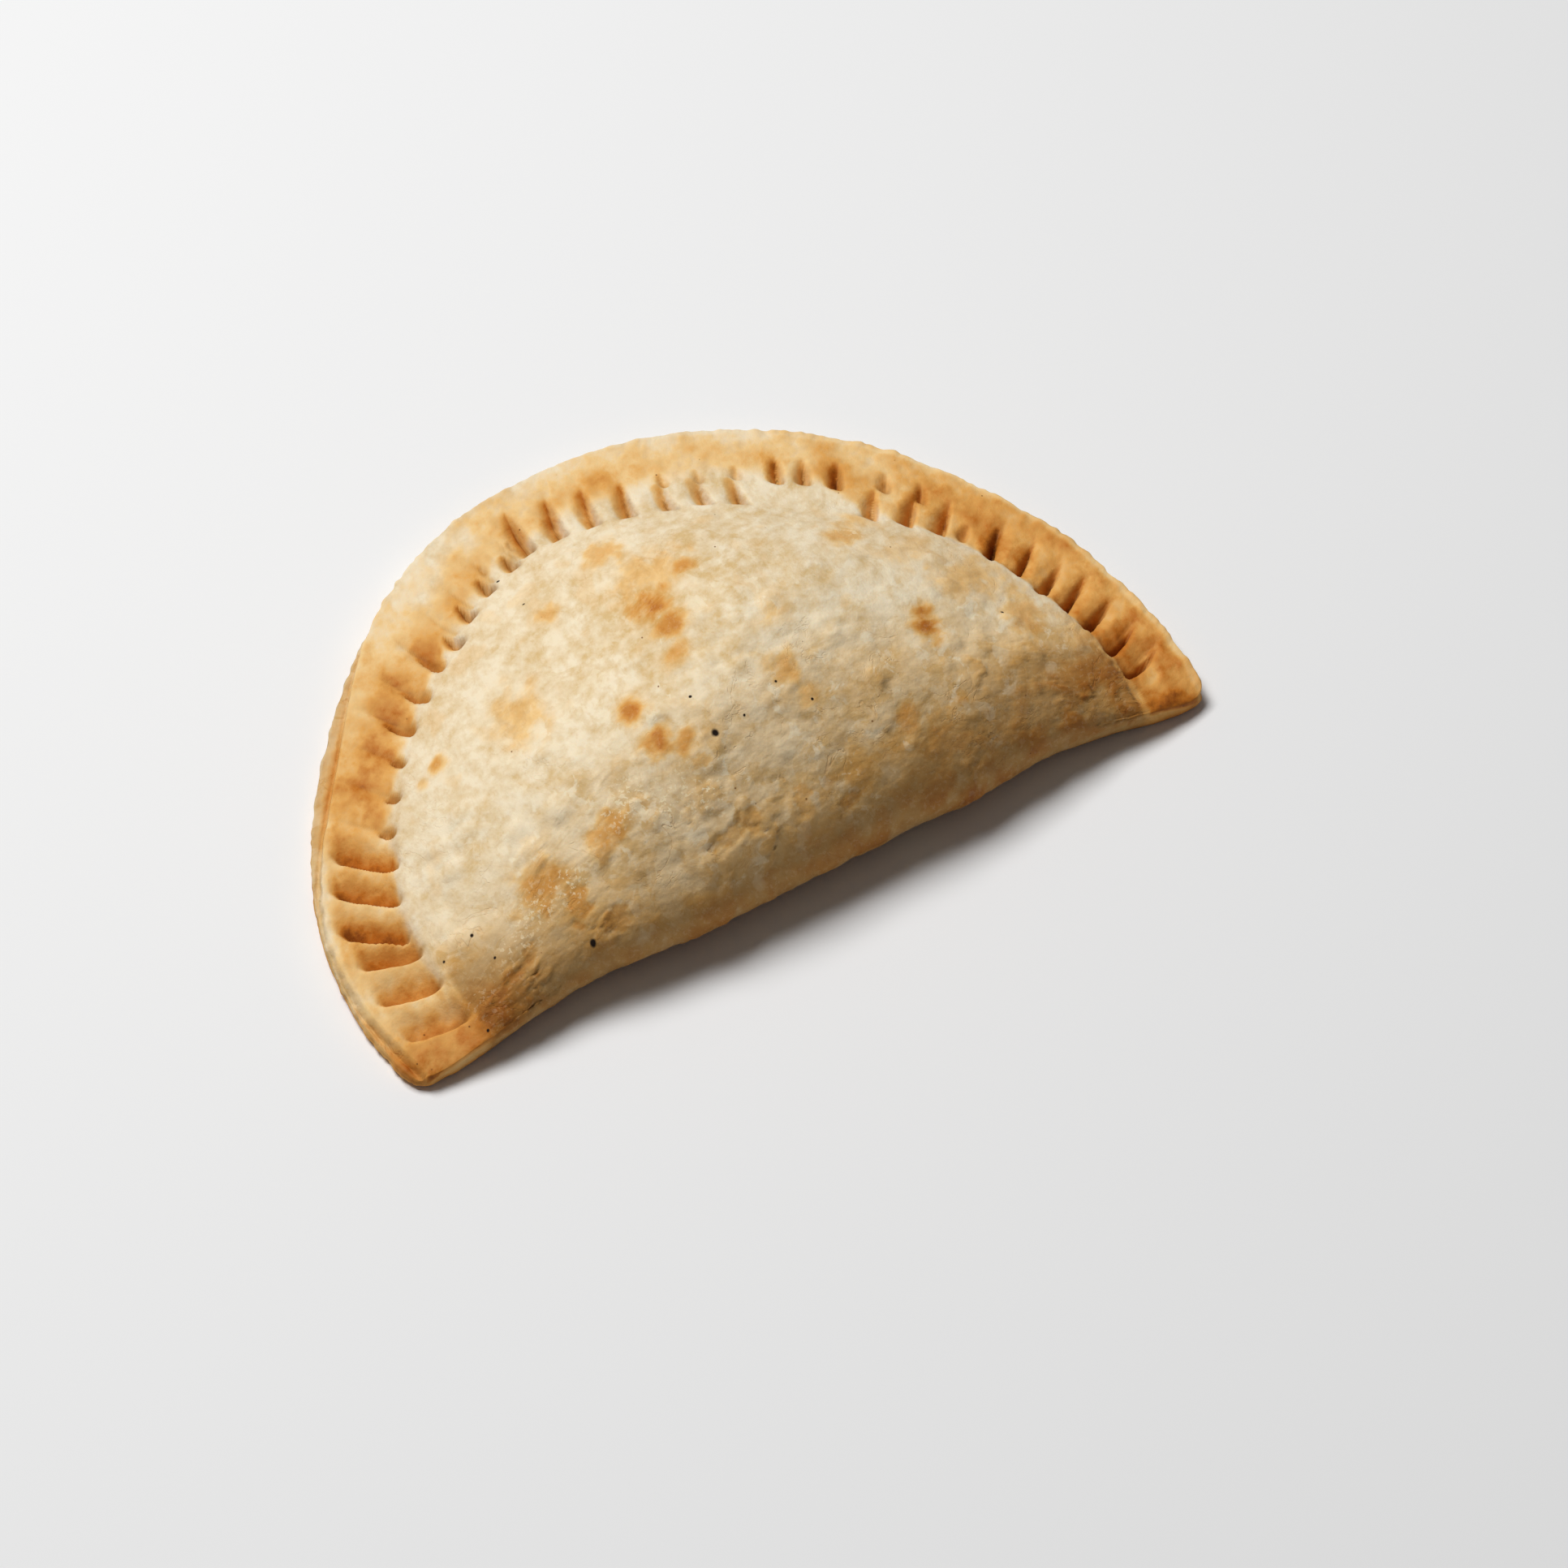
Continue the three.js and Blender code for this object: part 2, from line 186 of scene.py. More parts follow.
# Browned spots on the body: plan place, half widths along and across the fold, strength
SPOTS = (
    (-8, 45, 4.4, 3.2, 0.74), (-8, 38.5, 3.0, 2.2, 0.62), (1, 50, 2.4, 1.8, 0.55), (-4, 69, 4.0, 3.0, 0.42),
    (-4, 53, 8.0, 6.0, 0.3), (-22, 27.5, 2.3, 2.8, 0.72), (-21.5, 20, 3.2, 2.2, 0.72),
    (-18, 18, 2.4, 1.8, 0.5), (29.5, 22.2, 2.6, 3.2, 0.76), (-11, 33, 2.6, 2.0, 0.42),
    (-18.5, 61, 2.4, 2.4, 0.4), (-34, 43, 5.5, 6.0, 0.32), (-47, 47.5, 1.6, 1.6, 0.6),
    (-50.5, 46.5, 1.2, 1.2, 0.3), (32.5, 50.5, 4.4, 3.0, 0.42), (2, 20.5, 3.6, 3.0, 0.45),
    (3.5, 16, 3.0, 2.0, 0.35), (6, 30, 3.4, 2.4, 0.28), (18, 8, 3.6, 3.6, 0.46),
    (-47.5, 13.5, 6.0, 4.0, 0.5), (-34.5, 14, 4.4, 3.0, 0.52), (-37.5, 11.5, 3.0, 2.0, 0.42),
    (46, 34, 9.0, 6.0, 0.28), (51, 24, 5.0, 6.0, 0.4), (-62, 3.5, 8.0, 4.0, 0.62),
    (-20, 4, 14.0, 5.0, 0.24), (8, 5, 12.0, 5.0, 0.32), (40, 44, 7.0, 4.0, 0.2), (42, 60, 6.0, 4.0, 0.3),
    (22, 4, 10.0, 5.0, 0.4),
)

# Where the top leaf of dough has flaked away: plan place, half widths along and across, depth, browning
HOLLOWS = (
    (-43.3, 7.9, 1.8, 2.8, 0.3, 0.46), (-39.4, 3.9, 2.4, 1.4, 0.2, 0.42), (-53.9, 6.9, 1.6, 1.6, 0.3, 0.4),
    (-18.5, 4.7, 3.2, 1.1, 0.34, 0.36), (-13.6, 5.6, 2.0, 1.3, 0.2, 0.36), (3.4, 2.6, 1.8, 1.0, 0.25, 0.4),
    (-4, 4.5, 1.6, 1.4, 0.15, 0.36), (-17.2, 14.3, 1.3, 0.9, 0.12, 0.34),
)

# Clusters of bright crumbs: plan place, half widths along and across the fold, strength
CRUMBS = (
    (-30, 16, 6, 3.5, 0.8), (-24, 12, 5, 3.5, 0.9), (-18.5, 10.5, 4, 3, 0.9), (-43.5, 11.3, 4, 2.5, 0.75),
    (-50, 11.5, 4, 3, 0.7), (-54, 9, 4, 2.5, 0.5), (-63, 6, 4, 3, 0.22), (4, 6, 3, 2, 0.4),
    (35, 52, 4, 3, 0.5),
)

# Browner patches on the rim: place along the arc, depth from the edge, half widths, strength
RIM_PATCHES = (
    (36, 5, 4, 5, 0.16), (44, 6, 3.5, 5, 0.12), (52, 7, 4, 6, 0.16), (71, 8, 3, 3, 0.14),
    (79, 9.5, 5, 3.5, 0.34), (88, 10, 5, 4, 0.34), (95.5, 9, 5, 3.5, 0.32), (106, 12, 4, 4, 0.42),
    (117, 12, 5, 4, 0.22), (125, 11, 5, 4, 0.26), (137, 10, 6, 4, 0.26), (150, 10, 5, 4, 0.3),
    (157, 9, 4, 5, 0.32), (166, 11, 5, 4, 0.26), (180, 7, 8, 4, 0.26), (189, 10, 4, 4, 0.28),
    (202, 10, 3.5, 5, 0.3), (208, 11, 3, 3, 0.2), (221, 7, 4, 4, 0.2), (230, 8.5, 5, 4, 0.24),
    (236, 11, 4, 4, 0.2),
)

# How far short of the body the browning stops on the ridges: place along the arc, length
RIDGE_PALE = (
    (0, 0.2), (52, 0.4), (60, 1.6), (100, 2.0), (125, 3.5), (137, 5.0), (150, 6.5), (165, 8.5), (183, 9.5),
    (196, 9.5), (203, 5.0), (208, 2.0), (230, 1.0), (240, 0.3), (290, 0.2),
)

# How far the rim has browned: place along the arc, on the ridges, in the grooves, and the strength of the
# dark brown at the foot of each groove, partly deeper browning, partly painted shade
RIM_BAKE = (
    (0, 0.95, 0.95, 0.4), (8, 0.7, 0.8, 0.45), (14, 0.36, 0.66, 0.5), (31, 0.26, 0.7, 0.5),
    (42, 0.12, 0.86, 0.5), (52, 0.2, 0.86, 0.5), (62, 0.52, 0.56, 0.8), (76, 0.48, 0.56, 0.8),
    (86, 0.3, 0.54, 0.7), (104, 0.24, 0.54, 0.7), (118, 0.14, 0.5, 0.9), (140, 0.2, 0.56, 0.95),
    (160, 0.18, 0.54, 0.95), (182, 0.18, 0.5, 0.95), (192, 0.26, 0.54, 0.95), (206, 0.36, 0.58, 0.9),
    (226, 0.44, 0.68, 0.85), (240, 0.52, 0.8, 0.8), (265, 0.58, 0.82, 0.8), (290, 0.78, 0.82, 0.7),
)

# How far the outermost edge has browned: place along the arc, amount
EDGE_BAKE = (
    (0, 0.4), (28, 0.22), (40, 0.16), (54, 0.2), (64, 0.42), (86, 0.36), (104, 0.14), (125, 0.08),
    (180, 0.1), (200, 0.26), (290, 0.34),
)

# Damper dough on the back of the body: plan place, half widths, amount
DAMP_PATCH = (-2.0, 48.0, 20.0, 11.0, 0.32)

# Paler stretch of the fold: place along it and half width
PALE_FOLD = (-54.0, 8.0)

# Zones of the crust, each from where it starts to where it is full. Back from the fold:
FOLD_ZONE = (34.0, 12.0)
LOW_REACH = (22.0, 8.0)
DAMP_AND_SHADE_REACH = (28.0, 8.0)
TIP_REACH = (12.0, 2.0)
BASE_REACH = (8.0, 2.0)
CALM_BACK = (26.0, 56.0)
LEAF_END = (30.0, 60.0)
# From left to right:
RIGHT_ZONE = (-45.0, 35.0)
RIGHT_HALF = (0.0, 30.0)
# Upwards:
WALL_HEIGHT = (1.5, 6.5)
BASE_HEIGHT = (5.0, 1.0)
LOW_HEIGHT = (26.0, 6.0)
PALE_HEIGHT = (8.0, 14.0)
# Along the arc:
LUMPY_RIM = (195.0, 215.0)
LEFT_TIP = (30.0, 15.0)
RIGHT_TIP = (252.0, 266.0)
# In from the edge:
EDGE_ZONE = (3.0, 0.0)
EDGE_BROWN = (5.0, 1.0)
# The edge's browning fades out over its last 0.8 mm, leaving a pale line: a painted highlight of the
# back-lit edge
EDGE_HIGHLIGHT = (-0.1, 0.8)
RIM_START = (0.2, 2.4)
TIP_DEPTH = (24.0, 16.0)

# Steam pinholes, drawn as dots of painted shade: plan place and radius
PINHOLES = (
    (-13.4, 16.5, 0.62), (-44.1, 3.3, 0.5), (-13.7, 23.5, 0.28), (-7.7, 17, 0.2), (-0.5, 19.2, 0.24),
    (3.7, 15, 0.24), (-59.3, 15, 0.3), (-64.4, 15.2, 0.24), (-58.2, 9.7, 0.22), (-58.3, 7.1, 0.2),
    (-64.3, 1.7, 0.24), (-16.8, 81.5, 0.3), (-18.7, 69, 0.24), (46.2, 23.8, 0.34),
)

# How much height counts towards a steam hole's roundness
PINHOLE_FLAT = 0.35

# The dough's mottling is drawn out along one slanting direction, down the back: that direction, and how much
GRAIN_AIM = np.array((0.33, 0.54, -0.775))
GRAIN_DRAW = 0.72

# Noises over the crust: name, grain size, octaves, offset
NOISES = (
    ("swell", 13.0, 2, 0.0), ("mottle", 4.6, 3, 5.3), ("pebble", 2.1, 2, 13.7), ("grit", 1.1, 2, 9.1),
    ("sheet", 6.5, 4, 21.0), ("freckle", 5.5, 3, 33.0), ("blot", 2.6, 4, 41.0),
)

# Heights of the fine relief
SWELL_RISE = 0.5
MOTTLE_RISE = 0.14
BODY_MOTTLE = 0.1
LUMPY_MOTTLE = 0.2
EDGE_MOTTLE = 0.16
PEBBLE_RISE = 0.1
EDGE_PEBBLE = 0.2
GRIT_RISE = 0.05
SPOT_RISE = 0.2
LEAF_RISE = 0.12
FOLD_LEAF = 0.6
LEAF_STEP = 0.16
LEAF_SHARP = 5

# Blisters and flakes: seed, how many, how far they are scattered along the fold and back from it, sizes
BLISTER_SEED = 5
BLISTERS = 170
BLISTER_ALONG = (-68, 68)
BLISTER_BACK = (2, 92)
BLISTER_RADIUS = (0.8, 2.4)
BLISTER_RISE = (0.08, 0.2)
BLISTER_NEAR = 40
NEAR_RISE = 1.5
FAR_RISE = 0.8
FLAKE_SEED = 8
FLAKES = 110
FLAKE_ALONG = (-66, 66)
FLAKE_START = 2
FLAKE_BACK = 34
FLAKE_RADIUS = (1.4, 4.6)
FLAKE_RISE = (0.2, 0.5)

# Shares of browning and of dampness, from 0 to 1; the fold's shares, above all low down, are partly painted
# shade
FOLD_BAKE = 0.1
RIGHT_BAKE = 0.06
# Browning low on the fold: partly browning, partly painted shade
LOW_BAKE_AND_SHADE = 0.18
FLAKE_BAKE = 0.3
BLOTCH_BAKE = 0.16
TIP_BAKE = 0.36
BASE_BAKE = 0.55
SIDE_BAKE = 0.5
LEAST_SIDE = 0.35
FRECKLE_BAKE = 0.12
SKIN_DAMP = 0.32
# Dampness on the fold, more to the right, is partly painted shade; low on the fold it is painted shade
FOLD_DAMP_AND_SHADE = 0.18
RIGHT_DAMP_AND_SHADE = 0.26
LOW_FOLD_SHADE = 0.58
STRIP_DAMP = 0.8
CRUMBS_ALL_OVER = 0.08

# Grain sizes of the crust's patterns and depths of its bumps, in metres
PATCH_GRAIN = 2.2 * MM
CRUMB_GRAIN = 1.0 * MM
CLOUD_GRAIN = 9.0 * MM
LOBE_GRAIN = 5.0 * MM
LEAF_GRAIN = 3.0 * MM
STREW_GRAIN = 0.75 * MM
CREASE_GRAIN = 8.0 * MM
CREASE_AREA = 11.0 * MM
SPECK_PITCH = 1.6 * MM
SPECK_RADIUS = 0.2 * MM
COARSE_BUMP = 0.4 * MM
FINE_BUMP = 0.2 * MM

# How rough the patterns' noise is and the span that its values fill, then the finish of the floor
NOISE_ROUGH = 0.6
NOISE_SPAN = (0.25, 0.75)
PAPER_ROUGH = 0.9
PAPER_SHEEN = 0.1

# Mesh of the crust: a square grid laid over the plan, closer at its edge, then rings drawn in under it
GRID = 280
GRID_CENTRE = (-2.0, 42.0)
RING_SPREAD = 0.6
FOLD_SPREAD = 0.3
ROUND_RINGS = 7
FLAT_RINGS = 9


def linear(code):
    """Linear colour of an sRGB hex code."""
    parts = [int(code[i:i + 2], 16) / 255 for i in (1, 3, 5)]
    return tuple(c / 12.92 if c <= 0.04045 else ((c + 0.055) / 1.055) ** 2.4 for c in parts) + (1.0,)


def smooth(t):
    t = np.clip(t, 0, 1)
    return t * t * (3 - 2 * t)


def grown(value, start, full):
    """Share of a zone, from 0 at its start to 1 where it is full."""
    return smooth((value - start) / (full - start))


def bell(t):
    return np.exp(-np.square(t))


def quarter_round(t):
    return np.sqrt(1 - np.square(1 - np.clip(t, 0, 1)))


def crown(t, power):
    """Power curve from 0 to 1 that starts with a round top in place of a point."""
    def curve(r):
        return (r ** 2 + CROWN_ROUND ** 2) ** (power / 2) - CROWN_ROUND ** power
    return curve(t) / curve(1.0)


def arc_radius(angle):
    radius = np.full(np.shape(angle), ARC_RADIUS)
    for centre, width, height in ARC_SWELLS:
        turn = (angle - centre + 540) % 360 - 180
        radius = radius + height * bell(turn / width)
    return radius


def fold_line(x):
    return FOLD_DENT * bell((np.abs(x) - FOLD_DENT_X) / FOLD_DENT_WIDTH)


def outline(angle):
    """Plan point of the outline at an angle about the arc's centre."""
    down = np.maximum(-np.sin(np.radians(angle)), 1e-4)
    x = ARC_CENTRE_Y * np.cos(np.radians(angle)) / down
    fold = (ARC_CENTRE_Y - fold_line(x)) / down
    radius = (arc_radius(angle) ** -CORNER_POWER + fold ** -CORNER_POWER) ** (-1 / CORNER_POWER)
    return np.stack([radius * np.cos(np.radians(angle)),
                     ARC_CENTRE_Y + radius * np.sin(np.radians(angle))], -1)


def walk(start, end, steps=4000):
    """Points along the outline and the length run to each."""
    points = outline(np.linspace(start, end, steps))
    run = np.concatenate([[0], np.cumsum(np.linalg.norm(np.diff(points, axis=0), axis=1))])
    return points, run


ARC_POINTS, ARC_RUN = walk(TIP_ANGLE, 180 - TIP_ANGLE)
FOLD_POINTS, FOLD_RUN = walk(TIP_ANGLE, 540 - TIP_ANGLE)
ARC_LENGTH = ARC_RUN[-1]
ALL_POINTS = np.concatenate([ARC_POINTS, FOLD_POINTS])
PLAN_CENTRE = (ALL_POINTS.min(0) + ALL_POINTS.max(0)) / 2


def at_run(points, run, length):
    return np.stack([np.interp(length, run, points[:, i]) for i in (0, 1)], -1)


def rim_point(share):
    """Outline point at a share of the way round: the fold takes the quarter from 5/8 to 7/8."""
    on_fold = (share > 0.625) & (share < 0.875)
    fold = at_run(FOLD_POINTS, FOLD_RUN, (share - 0.625) / 0.25 * FOLD_RUN[-1])
    arc = at_run(ARC_POINTS, ARC_RUN, (1 - (share - 0.875) % 1 / 0.75) * ARC_LENGTH)
    return np.where(on_fold[:, None], fold, arc)


def arc_depth(x, y):
    angle = np.degrees(np.arctan2(y - ARC_CENTRE_Y, x))
    return arc_radius(angle) - np.hypot(x, y - ARC_CENTRE_Y)


def arc_place(x, y):
    """Length along the arc, from the left tip, of the groove line through a plan point."""
    turn = np.maximum.accumulate(-np.arctan2(ARC_POINTS[:, 1] - AIM_Y, ARC_POINTS[:, 0]))
    return np.interp(-np.arctan2(y - AIM_Y, x), turn, ARC_RUN)


def press_rows(presses):
    """Place, reach, length, depth, widths and drift of each groove."""
    rows = []
    for first, pitch, count, reach, last_reach, *shape in presses:
        for i in range(count):
            rows.append((first + pitch * i, reach + (last_reach - reach) * i / max(count - 1, 1), *shape))
    return rows


def along_arc(place, rows, column=1):
    """Value of a list along the arc at each place."""
    return np.interp(place, [r[0] for r in rows], [r[column] for r in rows])


def body_edge(place, blur):
    """Distance from the edge to the body, averaged over a stretch of the arc."""
    return sum(along_arc(place + blur * k, BODY_EDGE) for k in (-1, -0.5, 0, 0.5, 1)) / 5


def fold_share(depth):
    return 1 - np.exp(-np.maximum(depth, 0) / FOLD_GROWTH)


def equator_height(x, y):
    return RIM_EQUATOR + FOLD_EQUATOR * fold_share(arc_depth(x, y))


def lower_sheet(place):
    return sum(amount * bell((place - centre) / width) for centre, width, amount in LOWER_SHEET)


def groove_depth(place, depth):
    """How deep the fork has pressed, then shares for its troughs and for their creases and inner ends; both
    shares carry painted shade as well as browning.
    """
    dice = random.Random(GROOVE_SEED)
    cut, trough, pit = (np.zeros_like(depth) for _ in range(3))
    for centre, reach, length, deep, steep, gentle, drift in press_rows(PRESSES + FORK_MARKS):
        centre += dice.uniform(-PLACE_SHIFT, PLACE_SHIFT)
        steep *= dice.uniform(*WIDTH_RANGE)
        inner_end = reach + dice.uniform(-REACH_SHIFT, REACH_SHIFT)
        aside = place - centre - (drift + dice.uniform(-DRIFT_SHIFT, DRIFT_SHIFT)) * (depth - reach)
        run = (depth - inner_end + length) / length
        if centre > LONG_END:
            aside = aside / (OUTER_WIDTH + (1 - OUTER_WIDTH) * smooth(run / NARROW_RUN))
        if centre > LEAN_TURN:
            aside = -aside
        across = np.where(aside < 0, np.exp(-np.abs(aside / steep) ** STEEP_POWER), bell(aside / gentle))
        inner = grown(depth - inner_end, *GROOVE_END)
        outer = smooth(run / (SHORT_FADE if centre > LONG_END else LONG_FADE))
        off_crease = aside - CREASE_SIDE
        # Browning reaches further up the gentle side, turned from the light: partly browning, partly painted
        # shade
        wide = bell(off_crease / np.where(off_crease < 0, BROWN_STEEP, gentle * BROWN_GENTLE))
        marked = min(deep / 2, 1)
        trough = np.maximum(trough, wide * inner * smooth(run / BROWN_FADE) * marked)
        crease = bell(off_crease / CREASE_WIDTH) * inner * outer
        end = bell((aside - PIT_SIDE) / PIT_WIDTH) * bell((depth - inner_end + PIT_SHORT) / PIT_LENGTH)
        pit = np.maximum(pit, np.maximum(0.8 * crease, end) * marked)
        pressed = deep * dice.uniform(*DEPTH_RANGE) * across * inner * outer
        cut = np.maximum(cut, pressed + CREASE_DEPTH * np.maximum(crease, end * inner) * marked)
    return cut, trough, pit


def top_height(x, y, place, height):
    """Height of the upper side: lower sheet, rim, shoulder, dome and fold, with the grooves pressed in."""
    depth = np.maximum(arc_depth(x, y), 0)
    equator = equator_height(x, y)
    show = lower_sheet(place)
    edge = body_edge(place, EDGE_BLUR)
    z = LIP_HEIGHT + (EDGE_HEIGHT - LIP_HEIGHT) * grown(depth - show, *SHEET_STEP)
    z = z - SHEET_CREASE * bell((depth - show + SHEET_CREASE) / SHEET_CREASE) * smooth(show - 0.4)
    widest, narrow = SHOULDER_BAND
    shoulder = SHOULDER_RISE * np.clip((widest - edge) / (widest - narrow), LEAST_SHOULDER, 1)
    z = z + (BAND_HEIGHT - shoulder - EDGE_HEIGHT) * smooth((depth - show) / edge)
    z = z + shoulder * grown(depth - edge, *SHOULDER_START)
    start = SLOPE_START + (body_edge(place, SLOPE_BLUR) - SLOPE_START) * grown(depth - edge, *SLOPE_BLEND)
    run = depth - start
    fillet = FILLET + (BACK_FILLET - FILLET) * bell((place - FILLET_PLACE) / FILLET_WIDTH)
    rise = np.clip((run + np.sqrt(run ** 2 + fillet ** 2)) / 2 / SLOPE_WIDTH, 0, 1)
    power = SLOPE_POWER + (BACK_POWER - SLOPE_POWER) * bell((place - BACK_PLACE) / BACK_WIDTH)
    z = z + (height * SLOPE_TOP - BAND_HEIGHT) * (1 - crown(1 - rise, power))
    z = z - groove_depth(place, depth)[0]
    around = FOLD_ROUND_TIP + (FOLD_ROUND - FOLD_ROUND_TIP) * (1 - np.exp(-depth / FOLD_ROUND_RUN))
    return equator + (z - equator) * quarter_round((y - fold_line(x)) / around)


def field(points, grain, octaves, offset):
    """Fractal noise at points in millimetres, with the given grain size."""
    shift = Vector((offset, offset * 1.7, offset * 0.6))
    return np.array([noise.fractal(Vector(p) / grain + shift, 0.9, 2.0, octaves) for p in points.tolist()])


def terraces(values, step, sharp):
    """Values drawn to flat levels with steep edges, as flaked dough has."""
    level = np.floor(values / step)
    rest = values / step - level
    return (level + smooth((rest - 0.5) * sharp + 0.5)) * step


def square_share(x, y):
    """Ring and share of the way round, on a square of half width 1, of a grid vertex."""
    ring = max(abs(x), abs(y))
    if ring < 1e-9:
        return 0.0, 0.0
    if abs(x) >= abs(y):
        return ring, (0.0 if x > 0 else 0.5) + y / x / 8
    return ring, (0.25 if y > 0 else 0.75) - x / y / 8


def crust_mesh(name):
    """The crust's faces: a grid for the top, and rings drawn in below its edge to a flat base."""
    bm = bmesh.new()
    bmesh.ops.create_grid(bm, x_segments=GRID, y_segments=GRID, size=1.0)
    ring = bm.verts.layers.float.new("ring")
    share = bm.verts.layers.float.new("share")
    under = bm.verts.layers.float.new("under")
    for v in bm.verts:
        v[ring], turn = square_share(v.co.x, v.co.y)
        v[share] = turn % 1.0
    edges = [e for e in bm.edges if e.is_boundary]
    for level in range(1, ROUND_RINGS + FLAT_RINGS + 1):
        drawn = bmesh.ops.extrude_edge_only(bm, edges=edges)["geom"]
        for v in (g for g in drawn if isinstance(g, bmesh.types.BMVert)):
            v[under] = level
            v.co.z = -level
        edges = [g for g in drawn if isinstance(g, bmesh.types.BMEdge) and g.is_boundary]
    bmesh.ops.holes_fill(bm, edges=edges, sides=0)
    bmesh.ops.recalc_face_normals(bm, faces=bm.faces)
    mesh = bpy.data.meshes.new(name)
    bm.to_mesh(mesh)
    bm.free()
    return mesh


def read_attribute(mesh, name):
    values = np.zeros(len(mesh.vertices), np.float32)
    mesh.attributes[name].data.foreach_get("value", values)
    return values.astype(float)


def write_attribute(mesh, name, values):
    attribute = mesh.attributes.new(name, "FLOAT", "POINT")
    attribute.data.foreach_set("value", np.clip(values, 0, 1).astype(np.float32))


def crust_form(mesh, height):
    """Bare form of the crust in plan millimetres, before its fine relief."""
    ring = read_attribute(mesh, "ring")
    share = read_attribute(mesh, "share")
    under = read_attribute(mesh, "under")
    rim = rim_point(share)
    centre = np.array(GRID_CENTRE)
    fold_side = smooth((0.5 - np.abs((share - 0.75) / 0.25)) * 10)
    start = RING_SPREAD + FOLD_SPREAD * fold_side
    t = 1 - ring
    inward = (t * (t + start) / (1 + start))[:, None]
    reach = np.linalg.norm(centre - rim, axis=1)
    notch = np.where(ring > 1 - 1e-6, EDGE_NOTCH / reach, 0.0) * (1 - fold_side)
    top = rim + (centre - rim) * (inward + notch[:, None])
    place = arc_place(top[:, 0], top[:, 1])
    z = top_height(top[:, 0], top[:, 1], place, height)
    equator = equator_height(rim[:, 0], rim[:, 1])
    z = np.where(ring > 1 - 1e-6, equator, z)
    across = reach + (centre[1] - rim[:, 1] - reach) * fold_side
    width = (RIM_UNDER + FOLD_UNDER * fold_share(arc_depth(rim[:, 0], rim[:, 1]))) / across
    turn = np.clip(under / ROUND_RINGS, 0, 1) * math.pi / 2
    flat = np.clip((under - ROUND_RINGS) / (FLAT_RINGS + 1), 0, 1)
    below_share = width * (1 - np.cos(turn)) + (1 - width) * flat
    below = rim + (centre - rim) * below_share[:, None]
    below_z = equator * (1 - np.sin(turn))
    is_under = under > 0
    for name in ("ring", "share", "under"):
        mesh.attributes.remove(mesh.attributes[name])
    plan = np.where(is_under[:, None], below, top)
    return np.column_stack([plan, np.where(is_under, below_z, z)]), is_under


def set_points(mesh, points):
    """Plan millimetres to metres in the frame."""
    moved = (points - np.append(PLAN_CENTRE, 0)) * MM
    mesh.vertices.foreach_set("co", moved.astype(np.float32).ravel())
    mesh.update()


def blisters(points, body):
    """Small raised bubbles scattered over the body."""
    dice = random.Random(BLISTER_SEED)
    raised = np.zeros(len(points))
    for _ in range(BLISTERS):
        x, y = dice.uniform(*BLISTER_ALONG), dice.uniform(*BLISTER_BACK)
        radius = dice.uniform(*BLISTER_RADIUS)
        tall = dice.uniform(*BLISTER_RISE) * radius * (NEAR_RISE if y < BLISTER_NEAR else FAR_RISE)
        near = np.hypot(points[:, 0] - x, points[:, 1] - y) / radius
        raised = np.maximum(raised, tall * smooth(1.3 - near))
    return raised * body


def flakes(points, where, ragged):
    """Lifted edges of flaked dough: part rings that rise slowly and drop off sharply on the outside."""
    dice = random.Random(FLAKE_SEED)
    raised = np.zeros(len(points))
    for _ in range(FLAKES):
        x, y = dice.uniform(*FLAKE_ALONG), FLAKE_START + FLAKE_BACK * dice.random() ** 1.6
        radius, turn = dice.uniform(*FLAKE_RADIUS), dice.uniform(0, 2 * math.pi)
        stretch, tall = dice.uniform(0.5, 1.0), dice.uniform(*FLAKE_RISE)
        u, v = points[:, 0] - x, points[:, 1] - y
        along = u * math.cos(turn) + v * math.sin(turn)
        across = v * math.cos(turn) - u * math.sin(turn)
        near = np.hypot(along, across / stretch) / radius + 0.35 * ragged
        part = smooth((along / np.maximum(np.hypot(u, v), 0.01) + 0.25) / 0.7)
        raised = np.maximum(raised, tall * part * smooth((1.1 - near) / 0.22) * smooth((near - 0.25) / 0.6))
    return raised * where


def drawn_out(points):
    """Points brought together along the grain, so that what is laid out on them is drawn out that way."""
    return points - GRAIN_DRAW * (points @ GRAIN_AIM)[:, None] * GRAIN_AIM


def crust_fields(points, is_under):
    """Values at each vertex that the relief and the bake are worked out from."""
    crust = SimpleNamespace(points=points, under=is_under)
    crust.x, crust.y, crust.z = points.T
    crust.depth = np.maximum(arc_depth(crust.x, crust.y), 0)
    crust.place = arc_place(crust.x, crust.y)
    crust.top = np.where(is_under, grown(crust.z, *WALL_HEIGHT), 1.0)
    crust.band = body_edge(crust.place, EDGE_BLUR)
    crust.pale = along_arc(crust.place, RIDGE_PALE)
    crust.filled = smooth((crust.depth - crust.band + 1) / 3)
    crust.body = crust.filled * crust.top
    _, crust.trough, crust.pit = (share * crust.top for share in groove_depth(crust.place, crust.depth))
    shown = lower_sheet(crust.place)
    crust.strip = smooth((shown + 0.4 - crust.depth) / 0.8) * smooth(2 * shown) * crust.top
    crust.drawn = drawn_out(points)
    for name, grain, octaves, offset in NOISES:
        setattr(crust, name, field(crust.drawn, grain, octaves, offset))
    crust.fold_zone = grown(crust.y, *FOLD_ZONE) * crust.body
    crust.right = grown(crust.x, *RIGHT_ZONE) * crust.body
    crust.low = grown(crust.z, *LOW_HEIGHT) * grown(crust.y, *LOW_REACH)
    crust.flaked = flakes(points, crust.fold_zone * smooth(0.6 + 1.4 * crust.swell), crust.blot)
    return crust


